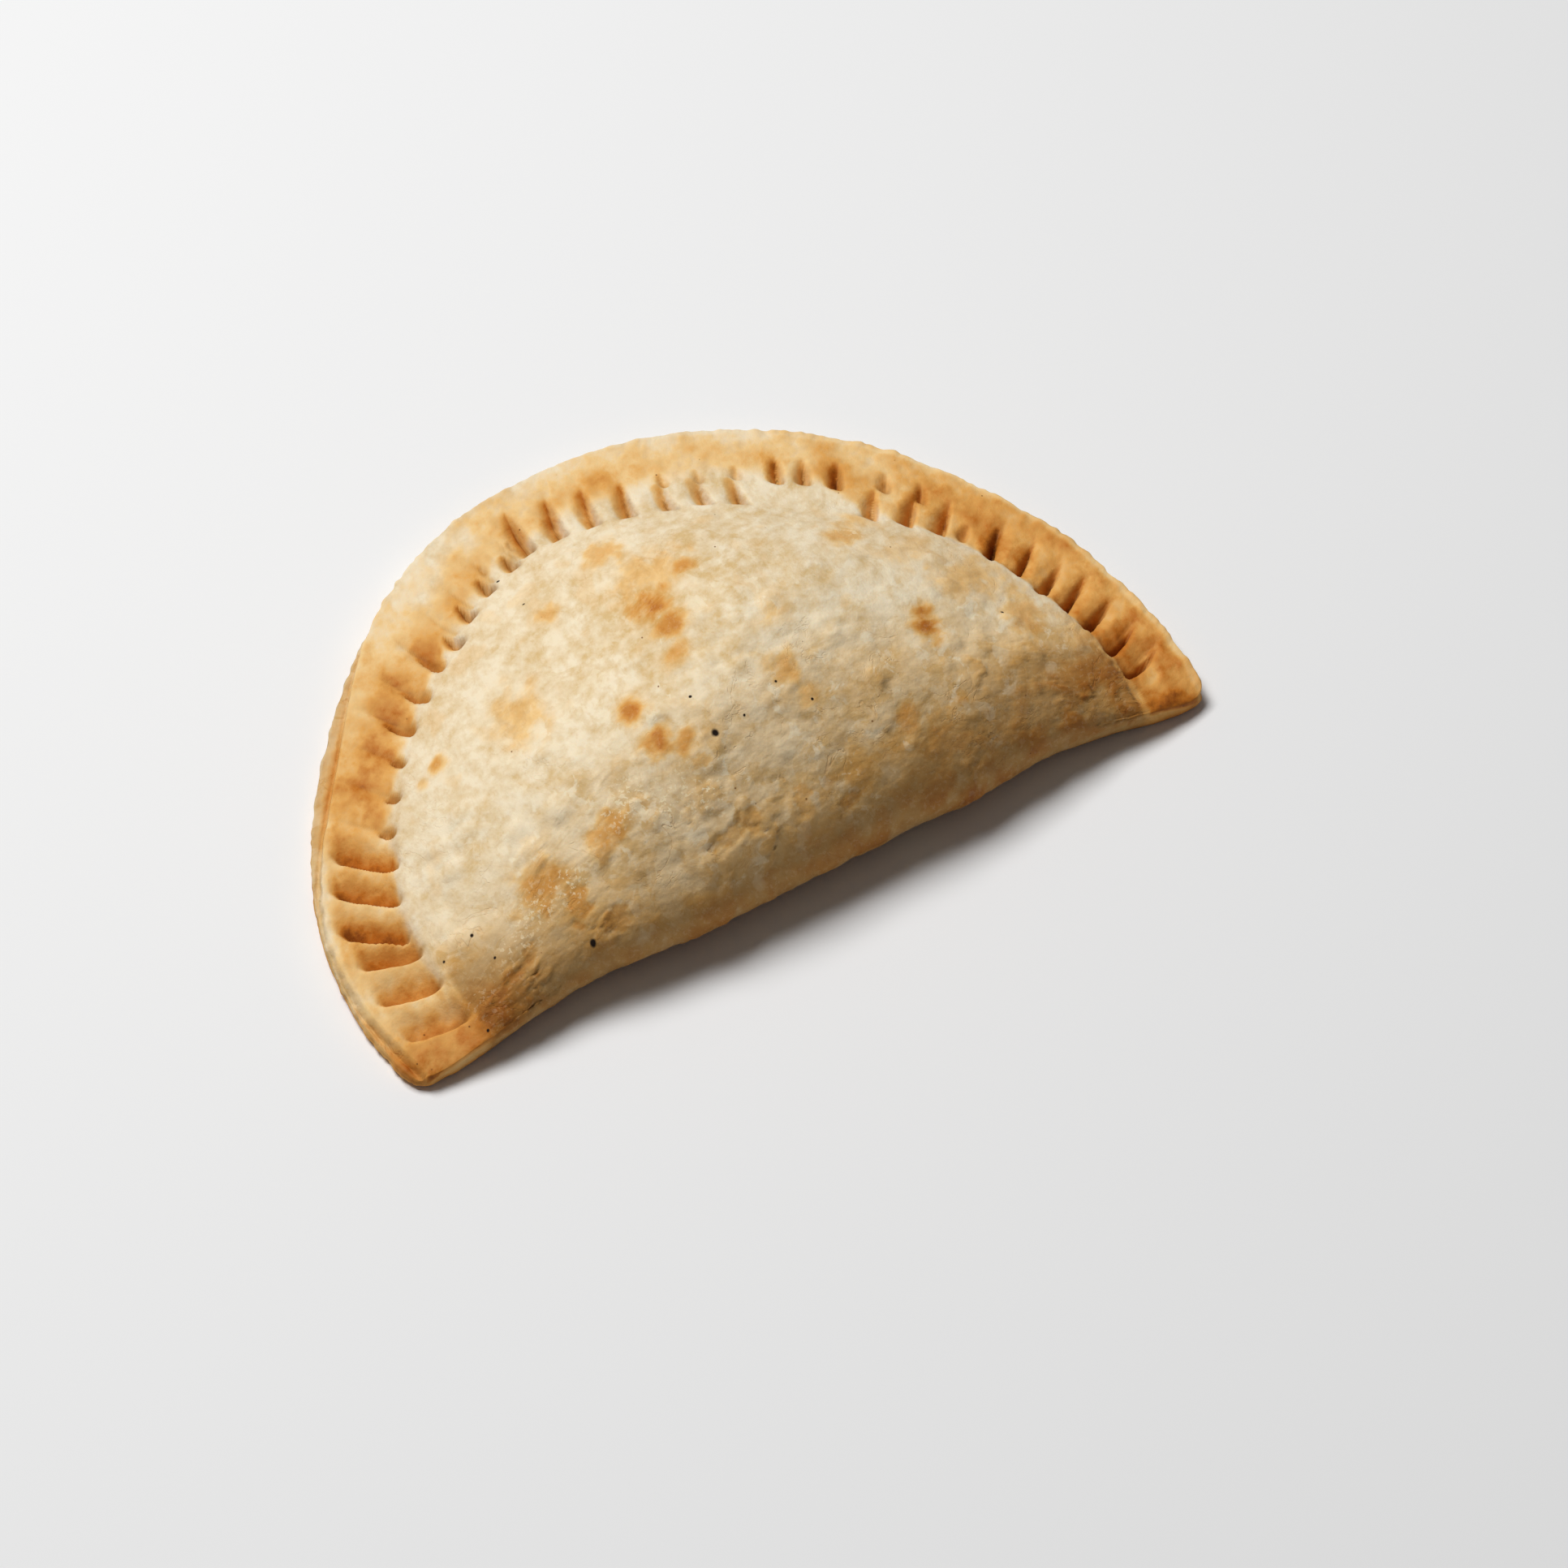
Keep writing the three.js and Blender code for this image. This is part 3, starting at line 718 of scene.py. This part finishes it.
def crust_relief(crust):
    """Height of the fine relief: swells, mottling, pebbles, leaves of dough, blisters and flakes."""
    lumpy = grown(crust.place, *LUMPY_RIM) * (1 - crust.body) * crust.top
    edge = grown(crust.depth, *EDGE_ZONE)
    calm = 1 - 0.6 * grown(crust.y, *CALM_BACK) * crust.body
    mottled = MOTTLE_RISE + BODY_MOTTLE * crust.body + LUMPY_MOTTLE * lumpy + EDGE_MOTTLE * edge
    leaves = terraces(crust.sheet, LEAF_STEP, LEAF_SHARP) - crust.sheet
    relief = SWELL_RISE * crust.body * crust.swell + mottled * calm * crust.mottle
    relief += (PEBBLE_RISE + EDGE_PEBBLE * edge) * crust.pebble * calm + GRIT_RISE * crust.grit * calm
    relief += (LEAF_RISE + FOLD_LEAF * crust.fold_zone) * crust.body * leaves
    return relief + blisters(crust.points, crust.body) + crust.flaked


def brown_spots(crust, height):
    """Browning of the spots and of the flaked hollows, and how far the surface rises or sinks there."""
    spots = np.zeros(len(crust.x))
    plan = np.array(SPOTS)[:, :2]
    middles = drawn_out(np.column_stack([plan, top_height(*plan.T, arc_place(*plan.T), height)]))
    for (across, along, _), (_, _, wide, deep, strength) in zip(middles, SPOTS):
        off_x = (crust.drawn[:, 0] - across) / wide
        off_y = (crust.drawn[:, 1] - along) / deep
        away = np.hypot(off_x, off_y) + 0.5 * crust.blot
        halo = bell(np.maximum(away, 0))
        core = smooth((1.15 - away) / 0.9)
        spots = np.maximum(spots, strength * (0.5 * halo + 0.55 * core))
    rise = SPOT_RISE * spots
    for x, y, wide, deep, sunk, strength in HOLLOWS:
        bare = smooth((1.3 - np.hypot((crust.x - x) / wide, (crust.y - y) / deep) - 0.8 * crust.blot) / 0.55)
        rise = rise - sunk * bare
        spots = np.maximum(spots, strength * bare)
    return spots * crust.body, rise * crust.body


def rim_toast(crust):
    """Browning of the pressed rim: ridges, grooves and patches, up to where the pale body begins."""
    ridge, groove = (along_arc(crust.place, RIM_BAKE, column) for column in (1, 2))
    bake = ridge + (groove - ridge) * crust.trough
    for place, depth, wide, deep, strength in RIM_PATCHES:
        away = np.hypot((crust.place - place) / wide, (crust.depth - depth) / deep) + 0.3 * crust.mottle
        bake = bake + strength * bell(np.maximum(away, 0))
    grooved = np.maximum(smooth(crust.pit * 2), smooth(crust.trough * 1.3))
    inner = crust.band - crust.pale + (crust.pale + 0.5) * grooved + 0.8 * crust.mottle
    rim = grown(crust.depth, *RIM_START) * smooth((inner - crust.depth) / (2.0 + 0.5 * crust.pale) + 0.5)
    return rim * (bake + 0.2 * crust.mottle + 0.1 * crust.swell + 0.1 * crust.pebble) * crust.top


def edge_toast(crust):
    """Browning of the rim's outermost edge, less where the lower sheet shows, and fading out right at the
    edge, which stays pale as a painted highlight of the back-lit edge.
    """
    bake = (along_arc(crust.place, EDGE_BAKE) + 0.14 * crust.mottle) * crust.top
    return bake * grown(crust.depth, *EDGE_BROWN) * grown(crust.depth, *EDGE_HIGHLIGHT) * (1 - 0.4 * crust.strip)


def fold_toast(crust):
    """Browning of the fold, more of it low down, to the right and on the flakes; the extra low down is
    partly browning, partly painted shade.
    """
    even = FOLD_BAKE + RIGHT_BAKE * crust.right + LOW_BAKE_AND_SHADE * crust.low + FLAKE_BAKE * crust.flaked
    blotches = BLOTCH_BAKE * (1 + crust.right) * smooth(0.4 + 1.6 * crust.mottle) * crust.low
    middle, width = PALE_FOLD
    pale = 0.4 * bell((crust.x - middle) / width) * grown(crust.z, *PALE_HEIGHT)
    return crust.fold_zone * (even + blotches) * (1 - pale)


def tip_toast(crust):
    """Browning of the two tips, more of it towards the fold."""
    ends = np.maximum(grown(crust.place, *LEFT_TIP), grown(crust.place, *RIGHT_TIP))
    low = (TIP_BAKE - 0.2 * grown(crust.x, *RIGHT_HALF)) * grown(crust.y, *TIP_REACH)
    return ends * grown(crust.depth, *TIP_DEPTH) * crust.top * (TIP_BAKE + low + 0.16 * crust.mottle)


def base_toast(crust):
    """Browning of the base and of the walls just above it."""
    base = (BASE_BAKE + 0.2 * crust.swell + 0.12 * crust.mottle) * grown(crust.z, *BASE_HEIGHT)
    walls = np.maximum(np.maximum(fold_share(crust.depth), grown(crust.y, *BASE_REACH)), LEAST_SIDE)
    sides = (SIDE_BAKE + 0.2 * crust.mottle) * (1 - crust.top) * walls
    return np.where(crust.under, np.maximum(base, sides), 0.0)


def dough_damp_and_shade(crust):
    """How dense the dough looks and how much dampness and painted shade it carries: most on the fold, where
    low down it is painted shade, and along the lower sheet.
    """
    skin = smooth((crust.depth - crust.band + crust.pale + 1) / 3)
    thick = np.maximum(crust.filled, np.where(crust.under, grown(crust.y, *BASE_REACH), 0.0))
    # On the fold, more to the right, the dough is darkened as partly denser dough, partly painted shade; low
    # down the darkening is painted shade
    fold = (FOLD_DAMP_AND_SHADE + RIGHT_DAMP_AND_SHADE * crust.right) * grown(crust.y, *DAMP_AND_SHADE_REACH) + LOW_FOLD_SHADE * crust.low
    x, y, wide, deep, amount = DAMP_PATCH
    patch = amount * bell(np.hypot((crust.x - x) / wide, (crust.y - y) / deep)) * crust.body
    return SKIN_DAMP * skin + fold * thick + STRIP_DAMP * crust.strip + patch


def crumb_share(crust):
    """How thickly bright crumbs lie on the body."""
    crumbs = np.full(len(crust.x), CRUMBS_ALL_OVER)
    for x, y, wide, deep, strength in CRUMBS:
        away = np.hypot((crust.x - x) / wide, (crust.y - y) / deep) + 0.3 * crust.blot
        crumbs = np.maximum(crumbs, strength * bell(away))
    return crumbs * crust.body


def dry_leaves(crust, toast):
    """Where opaque leaves of dry dough show: on the near part of the body, and not where it has browned."""
    leafy = smooth(0.45 + 1.1 * crust.sheet + 0.6 * crust.flaked)
    leafy *= (1 - 0.75 * grown(crust.y, *LEAF_END)) * (1 - 0.8 * crust.low)
    return crust.body * leafy * smooth(1.1 - 2.2 * toast)


def crust_detail(mesh, points, is_under, height):
    """Fine relief along the normals, and the attributes that colour the crust."""
    normals = np.zeros(len(mesh.vertices) * 3, np.float32)
    mesh.vertex_normals.foreach_get("vector", normals)
    crust = crust_fields(points, is_under)
    spots, rise = brown_spots(crust, height)
    relief = (crust_relief(crust) + rise) * np.where(is_under & (crust.z < 0.05), 0.0, 1.0)
    raised = points + normals.reshape(-1, 3).astype(float) * relief[:, None]
    raised[:, 2] = np.maximum(raised[:, 2], 0.0)

    freckles = FRECKLE_BAKE * smooth((crust.freckle - 0.25) / 0.4) * crust.body
    bakes = [bake(crust) for bake in (rim_toast, edge_toast, fold_toast, tip_toast, base_toast)]
    toast = np.maximum.reduce([*bakes, spots, freckles])
    write_attribute(mesh, "toast", toast)
    # Dark brown at the foot of each fork groove and at its inner end: partly deeper browning, partly painted
    # shade in the crease
    foot_shade = along_arc(crust.place, RIM_BAKE, 3) * crust.pit
    write_attribute(mesh, "groove_foot_shade", foot_shade * (1 + 0.4 * crust.pebble))
    # The share of dampness carries painted shade as well: on the fold, above all low down
    write_attribute(mesh, "damp_and_shade", dough_damp_and_shade(crust))
    write_attribute(mesh, "crumbs", crumb_share(crust))
    write_attribute(mesh, "flour", dry_leaves(crust, toast))
    set_points(mesh, raised)


def add_node(tree, kind, *values, output=None, **settings):
    """Adds a shader node, sets its properties, fills or links its inputs, and gives an output socket."""
    node = tree.nodes.new("ShaderNode" + kind)
    for name in [name for name in settings if name not in node.inputs]:
        setattr(node, name, settings.pop(name))
    filled = list(zip([socket for socket in node.inputs if socket.enabled], values))
    filled += [(node.inputs[name], value) for name, value in settings.items()]
    for socket, value in filled:
        if isinstance(value, bpy.types.NodeSocket):
            tree.links.new(value, socket)
        else:
            socket.default_value = value
    shown = [socket for socket in node.outputs if socket.enabled]
    return node.outputs[output] if output else shown[0] if shown else node


def drawn_place(node):
    """Place on the pastry, brought together along the grain of the dough."""
    place = node("TexCoord", output="Object")
    aim = tuple(GRAIN_AIM)
    along = node("VectorMath", place, aim, operation="DOT_PRODUCT", output="Value")
    back = node("Math", along, -GRAIN_DRAW, operation="MULTIPLY")
    shift = node("VectorMath", aim, back, operation="SCALE")
    return node("VectorMath", place, shift, operation="ADD")


def pale_dough(node, place, damp_and_shade, patches, crumbs, colours):
    """Dough before it browns, denser and greyer in clouds and in thin lobed patches, more so on the fold,
    where the greying and a brownish colour low down are also painted shade.
    """
    cloud = node("TexNoise", place, Scale=1 / CLOUD_GRAIN, Detail=5.0, Roughness=NOISE_ROUGH)
    clouds = node("MapRange", cloud, *NOISE_SPAN, 0.4, 1.5)
    lobes = node("TexNoise", place, Scale=1 / LOBE_GRAIN, Detail=6.0, Roughness=NOISE_ROUGH, Distortion=0.9)
    thin = node("MapRange", lobes, 0.52, 0.56, 0.75, 1.25)
    damper = node("Math", damp_and_shade, thin, operation="MULTIPLY")
    drier = node("Math", damper, -1.0, clouds, operation="MULTIPLY_ADD")
    patched = node("Math", drier, patches, operation="ADD")
    grained = node("Math", patched, crumbs, operation="ADD", use_clamp=True)
    # Where the share of dampness and painted shade is high, mostly low on the fold, the dough is darkened to
    # a brownish colour: painted shade of the fold's underside
    dense = node("Math", patches, 0.15, damp_and_shade, operation="MULTIPLY_ADD")
    thick = node("MapRange", dense, 0.7, 1.05, 0.0, 0.9)
    pale = node("Mix", grained, colours.shade, colours.cream, data_type="RGBA")
    return node("Mix", thick, pale, colours.tan, data_type="RGBA")


def broken_toast(node, toast, patches, crumbs):
    """Browning that breaks up at its edges into the grain of the crust."""
    grain = node("Math", crumbs, 1.6, patches, operation="MULTIPLY_ADD")
    take = node("MapRange", toast, 0.0, 0.4, 0.06, 0.22)
    return node("Math", grain, take, toast, operation="MULTIPLY_ADD")


def toast_tint(node, browned, colours):
    """Tint of the bake, from none through golden to dark, to be multiplied with the dough."""
    tint = node("ValToRGB", browned, output="Color")
    stops = ((0.03, colours.cream), (0.3, colours.straw), (0.56, colours.golden), (0.82, colours.brown),
             (1.0, colours.dark))
    ramp = tint.node.color_ramp
    while len(ramp.elements) < len(stops):
        ramp.elements.new(0.5)
    for element, (at, colour) in zip(ramp.elements, stops):
        element.position = at
        element.color = [c / pale for c, pale in zip(colour, colours.cream)]
    return tint


def strewn_crust(node, place, baked, flour, strewn, colours):
    """White leaves of dry dough over the crust, then clusters of bright crumbs and a few scorched specks."""
    leaf = node("TexNoise", place, Scale=1 / LEAF_GRAIN, Detail=6.0, Roughness=NOISE_ROUGH, Distortion=0.5)
    leaves = node("MapRange", leaf, 0.54, 0.6, 0.0, 0.65)
    dry = node("Math", leaves, flour, operation="MULTIPLY")
    leafy = node("Mix", dry, baked, colours.flour, data_type="RGBA")

    crumb = node("TexNoise", place, Scale=1 / STREW_GRAIN, Detail=3.0, Roughness=NOISE_ROUGH, Distortion=0.3)
    bright = node("MapRange", crumb, 0.55, 0.62)
    littered = node("Math", bright, strewn, operation="MULTIPLY")
    crumbly = node("Mix", littered, leafy, colours.crumb, data_type="RGBA")

    speck = node("TexVoronoi", place, Scale=1 / SPECK_PITCH, output="Distance")
    scorch = node("MapRange", speck, SPECK_RADIUS / SPECK_PITCH, 0.6 * SPECK_RADIUS / SPECK_PITCH)
    few = node("MapRange", speck.node.outputs["Color"], 0.84, 0.86, 0.0, 0.85)
    specks = node("Math", scorch, few, operation="MULTIPLY")
    return node("Mix", specks, crumbly, colours.scorch, data_type="RGBA")


def hairline_creases(node, place, damp_and_shade):
    """Fine creases that wander over parts of the thicker dough, darkened a little as painted shade."""
    path = node("TexNoise", place, Scale=1 / CREASE_GRAIN, Detail=4.0, Roughness=NOISE_ROUGH, Distortion=0.6)
    aside = node("Math", path, 0.5, operation="SUBTRACT")
    wander = node("Math", aside, operation="ABSOLUTE")
    hairline = node("MapRange", wander, 0.012, 0.003)
    area = node("TexNoise", place, Scale=1 / CREASE_AREA, Detail=2.0, Roughness=NOISE_ROUGH)
    line = node("Math", hairline, node("MapRange", area, 0.53, 0.6), operation="MULTIPLY")
    return node("Math", line, node("MapRange", damp_and_shade, 0.1, 0.5), operation="MULTIPLY")


def pinholes(node, surface, colour, height):
    """Crisp dark dots of painted shade for the insides of steam holes, which the mesh does not hollow out,
    measured mostly in plan so that they stay round on the uneven top.
    """
    place = node("TexCoord", output="Object")
    flat = node("VectorMath", place, (1.0, 1.0, PINHOLE_FLAT), operation="MULTIPLY")
    for x, y, radius in PINHOLES:
        at = np.array([[x], [y]], float)
        tall = top_height(*at, arc_place(*at), height)[0]
        centre = ((x - PLAN_CENTRE[0]) * MM, (y - PLAN_CENTRE[1]) * MM, PINHOLE_FLAT * tall * MM)
        away = node("VectorMath", flat, centre, operation="DISTANCE", output="Value")
        hole = node("MapRange", away, radius * 1.25 * MM, radius * 0.7 * MM)
        surface = node("Mix", hole, surface, colour, data_type="RGBA")
    return surface


def shortcrust_material(colours, height):
    """Baked shortcrust: matt, pale and mottled where it is thick, golden to brown where it is thin."""
    material = bpy.data.materials.new("baked_shortcrust")
    material.use_nodes = True
    material.node_tree.nodes.clear()
    node = partial(add_node, material.node_tree)
    place = drawn_place(node)
    toast, damp_and_shade, flour, strewn, groove_foot_shade = (node("Attribute", attribute_name=name, output="Fac")
                                         for name in ("toast", "damp_and_shade", "flour", "crumbs", "groove_foot_shade"))
    patch = node("TexNoise", place, Scale=1 / PATCH_GRAIN, Detail=4.0, Roughness=NOISE_ROUGH)
    crumb = node("TexNoise", place, Scale=1 / CRUMB_GRAIN, Detail=3.0, Roughness=NOISE_ROUGH)
    patches = node("MapRange", patch, *NOISE_SPAN, -0.4, 0.4)
    crumbs = node("MapRange", crumb, *NOISE_SPAN, -0.22, 0.22)

    dough = pale_dough(node, place, damp_and_shade, patches, crumbs, colours)
    browned = broken_toast(node, toast, patches, crumbs)
    tint = toast_tint(node, browned, colours)
    toasted = node("Mix", 1.0, dough, tint, data_type="RGBA", blend_type="MULTIPLY")
    # Painted shade: dark brown laid over the browning at the foot of each fork groove
    baked = node("Mix", groove_foot_shade, toasted, colours.umber_shade, data_type="RGBA")
    littered = strewn_crust(node, place, baked, flour, strewn, colours)
    crease = hairline_creases(node, place, damp_and_shade)
    # Painted shade: the crust is darkened a little along the hairline creases
    crease_shade = node("Math", crease, 0.2, operation="MULTIPLY")
    creased = node("Mix", crease_shade, littered, colours.straw, data_type="RGBA", blend_type="MULTIPLY")
    surface = pinholes(node, creased, colours.hole_shade, height)

    coarse = node("Bump", Height=patch, Strength=0.28, Distance=COARSE_BUMP)
    fine = node("Bump", Height=crumb, Normal=coarse, Strength=0.6, Distance=FINE_BUMP)
    lines = node("Bump", Height=crease, Normal=fine, Strength=0.4, Distance=FINE_BUMP, invert=True)
    matt = node("MapRange", browned, 0.2, 0.9, 0.8, 0.6)
    shader = node("BsdfPrincipled", **{
        "Base Color": surface, "Roughness": matt, "Normal": lines, "Specular IOR Level": 0.18,
        "Subsurface Weight": 0.06, "Subsurface Scale": 1.0 * MM, "Subsurface Radius": (1.0, 0.55, 0.25)})
    node("OutputMaterial", Surface=shader)
    return material


def floor_material(colour):
    """Matt studio paper: an even pale ground with no sheen."""
    material = bpy.data.materials.new("studio_paper")
    material.use_nodes = True
    shader = material.node_tree.nodes["Principled BSDF"]
    shader.inputs["Base Color"].default_value = colour
    shader.inputs["Roughness"].default_value = PAPER_ROUGH
    shader.inputs["Specular IOR Level"].default_value = PAPER_SHEEN
    return material


def colour_property(name, description, code):
    return FloatVectorProperty(name=name, description=description, subtype="COLOR", size=4,
                               min=0.0, max=1.0, default=linear(code))


class CrustSizes(bpy.types.PropertyGroup):
    height: FloatProperty(name="Height", description="Height of the body above the base",
                          default=HIGH.z - LOW.z, unit="LENGTH", subtype="DISTANCE")


class CrustColours(bpy.types.PropertyGroup):
    cream: colour_property("Cream", "Palest baked dough", "#efdfc0")
    shade: colour_property("Shade", "Denser, damper dough", "#d6b680")
    # Darkest dough colour, laid mostly low on the fold: partly thick dough, partly painted shade of the
    # fold's underside
    tan: colour_property("Tan", "Thick dough of the fold", "#a48962")
    straw: colour_property("Straw", "Dough that has begun to colour", "#edc78a")
    golden: colour_property("Golden", "Pressed rim", "#e0a658")
    brown: colour_property("Brown", "Well baked hollows and spots", "#c07424")
    dark: colour_property("Dark", "Darkest bake", "#87470e")
    # Dark brown at the foot of each fork groove: partly deeper browning, partly painted shade in the creases
    umber_shade: colour_property("Umber", "Foot of each fork groove", "#63390f")
    flour: colour_property("Flour", "Dry white leaves of dough", "#f3e5c6")
    crumb: colour_property("Crumb", "Bright crumbs that lie on the surface", "#f8e6be")
    scorch: colour_property("Scorch", "Tiny scorched specks", "#7a4a1c")
    # Painted shade: the dark inside of a steam hole, laid as a dot on the surface
    hole_shade: colour_property("Pinhole", "Inside of a steam hole", "#21150d")


class StageSettings(bpy.types.PropertyGroup):
    azimuth: FloatProperty(name="Azimuth", description="Camera turn about the pastry",
                           default=math.radians(-31.9), unit="ROTATION", subtype="ANGLE")
    elevation: FloatProperty(name="Elevation", description="Camera height above the horizon",
                             default=math.radians(51.0), unit="ROTATION", subtype="ANGLE")
    distance: FloatProperty(name="Distance", description="Camera to the point it looks at",
                            default=0.8, unit="LENGTH", subtype="DISTANCE")
    target: FloatVectorProperty(name="Target", description="Point on the floor that the camera looks at",
                                default=(0.0065, -0.0277, 0.0), subtype="TRANSLATION", unit="LENGTH")
    lens: FloatProperty(name="Lens", description="Focal length", default=111.8, unit="CAMERA")
    key_place: FloatVectorProperty(name="Key place", description="Middle of the softbox",
                                   default=(-0.22, 0.46, 1.22), subtype="TRANSLATION", unit="LENGTH")
    key_size: FloatProperty(name="Key size", description="Width of the softbox",
                            default=0.6, unit="LENGTH", subtype="DISTANCE")
    key_power: FloatProperty(name="Key power", description="Power of the softbox",
                             default=17.0, unit="POWER")
    fill: FloatProperty(name="Fill", description="Strength of the even light from all round", default=0.1)
    floor_reach: FloatProperty(name="Floor reach", description="Half width of the floor",
                               default=3.0, unit="LENGTH", subtype="DISTANCE")
    floor: colour_property("Floor", "Studio paper", "#efefef")


class EMPANADA_OT_crust(bpy.types.Operator):
    """Build the crust with its crimped rim, fold and bake"""
    bl_idname = "empanada.crust"
    bl_label = "Crust"

    def execute(self, context):
        sizes = context.scene.empanada_sizes
        mesh = crust_mesh("empanada_crust")
        points, is_under = crust_form(mesh, sizes.height / MM)
        set_points(mesh, points)
        crust_detail(mesh, points, is_under, sizes.height / MM)
        mesh.shade_smooth()
        crust = bpy.data.objects.new("empanada_crust", mesh)
        context.scene.collection.objects.link(crust)
        mesh.materials.append(shortcrust_material(context.scene.empanada_colours, sizes.height / MM))
        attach(crust, "root")
        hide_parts(NODE)
        return {"FINISHED"}


class EMPANADA_OT_stage(bpy.types.Operator):
    """Build the floor, the lights and the camera"""
    bl_idname = "empanada.stage"
    bl_label = "Stage"

    def execute(self, context):
        stage = context.scene.empanada_stage
        bm = bmesh.new()
        bmesh.ops.create_grid(bm, x_segments=1, y_segments=1, size=stage.floor_reach)
        mesh = bpy.data.meshes.new("floor")
        bm.to_mesh(mesh)
        bm.free()
        floor = bpy.data.objects.new("floor", mesh)
        mesh.materials.append(floor_material(stage.floor))
        context.scene.collection.objects.link(floor)
        context.scene.view_settings.view_transform = "Standard"
        self.light(context, stage)
        world = bpy.data.worlds.new("studio")
        world.use_nodes = True
        background = world.node_tree.nodes["Background"]
        background.inputs["Color"].default_value = (1, 1, 1, 1)
        background.inputs["Strength"].default_value = stage.fill
        context.scene.world = world
        self.camera(context, stage)
        return {"FINISHED"}

    def light(self, context, stage):
        data = bpy.data.lights.new("key_softbox", "AREA")
        data.size = stage.key_size
        data.energy = stage.key_power
        lamp = bpy.data.objects.new("key_softbox", data)
        lamp.location = stage.key_place
        lamp.rotation_euler = (-Vector(stage.key_place)).to_track_quat("-Z", "Y").to_euler()
        context.scene.collection.objects.link(lamp)

    def camera(self, context, stage):
        data = bpy.data.cameras.new("camera")
        data.lens = stage.lens
        camera = bpy.data.objects.new("camera", data)
        flat = math.cos(stage.elevation)
        turn = stage.azimuth
        back = Vector((math.sin(turn) * flat, -math.cos(turn) * flat, math.sin(stage.elevation)))
        camera.location = Vector(stage.target) + back * stage.distance
        camera.rotation_euler = (-back).to_track_quat("-Z", "Y").to_euler()
        context.scene.collection.objects.link(camera)
        context.scene.camera = camera


class EMPANADA_PT_panel(bpy.types.Panel):
    """Sidebar list of the pastry's pieces and stage"""
    bl_idname = "EMPANADA_PT_panel"
    bl_label = "Empanada"
    bl_space_type = "VIEW_3D"
    bl_region_type = "UI"
    bl_category = "Empanada"

    def draw(self, context):
        for operator in (EMPANADA_OT_crust, EMPANADA_OT_stage):
            self.layout.operator(operator.bl_idname)


CLASSES = (CrustSizes, CrustColours, StageSettings, EMPANADA_OT_crust, EMPANADA_OT_stage, EMPANADA_PT_panel)


def register():
    for cls in CLASSES:
        bpy.utils.register_class(cls)
    bpy.types.Scene.empanada_sizes = PointerProperty(type=CrustSizes)
    bpy.types.Scene.empanada_colours = PointerProperty(type=CrustColours)
    bpy.types.Scene.empanada_stage = PointerProperty(type=StageSettings)


def unregister():
    del bpy.types.Scene.empanada_stage
    del bpy.types.Scene.empanada_colours
    del bpy.types.Scene.empanada_sizes
    for cls in reversed(CLASSES):
        bpy.utils.unregister_class(cls)


def main():
    register()
    bpy.ops.empanada.crust()
    bpy.ops.empanada.stage()


if __name__ == "__main__":
    main()
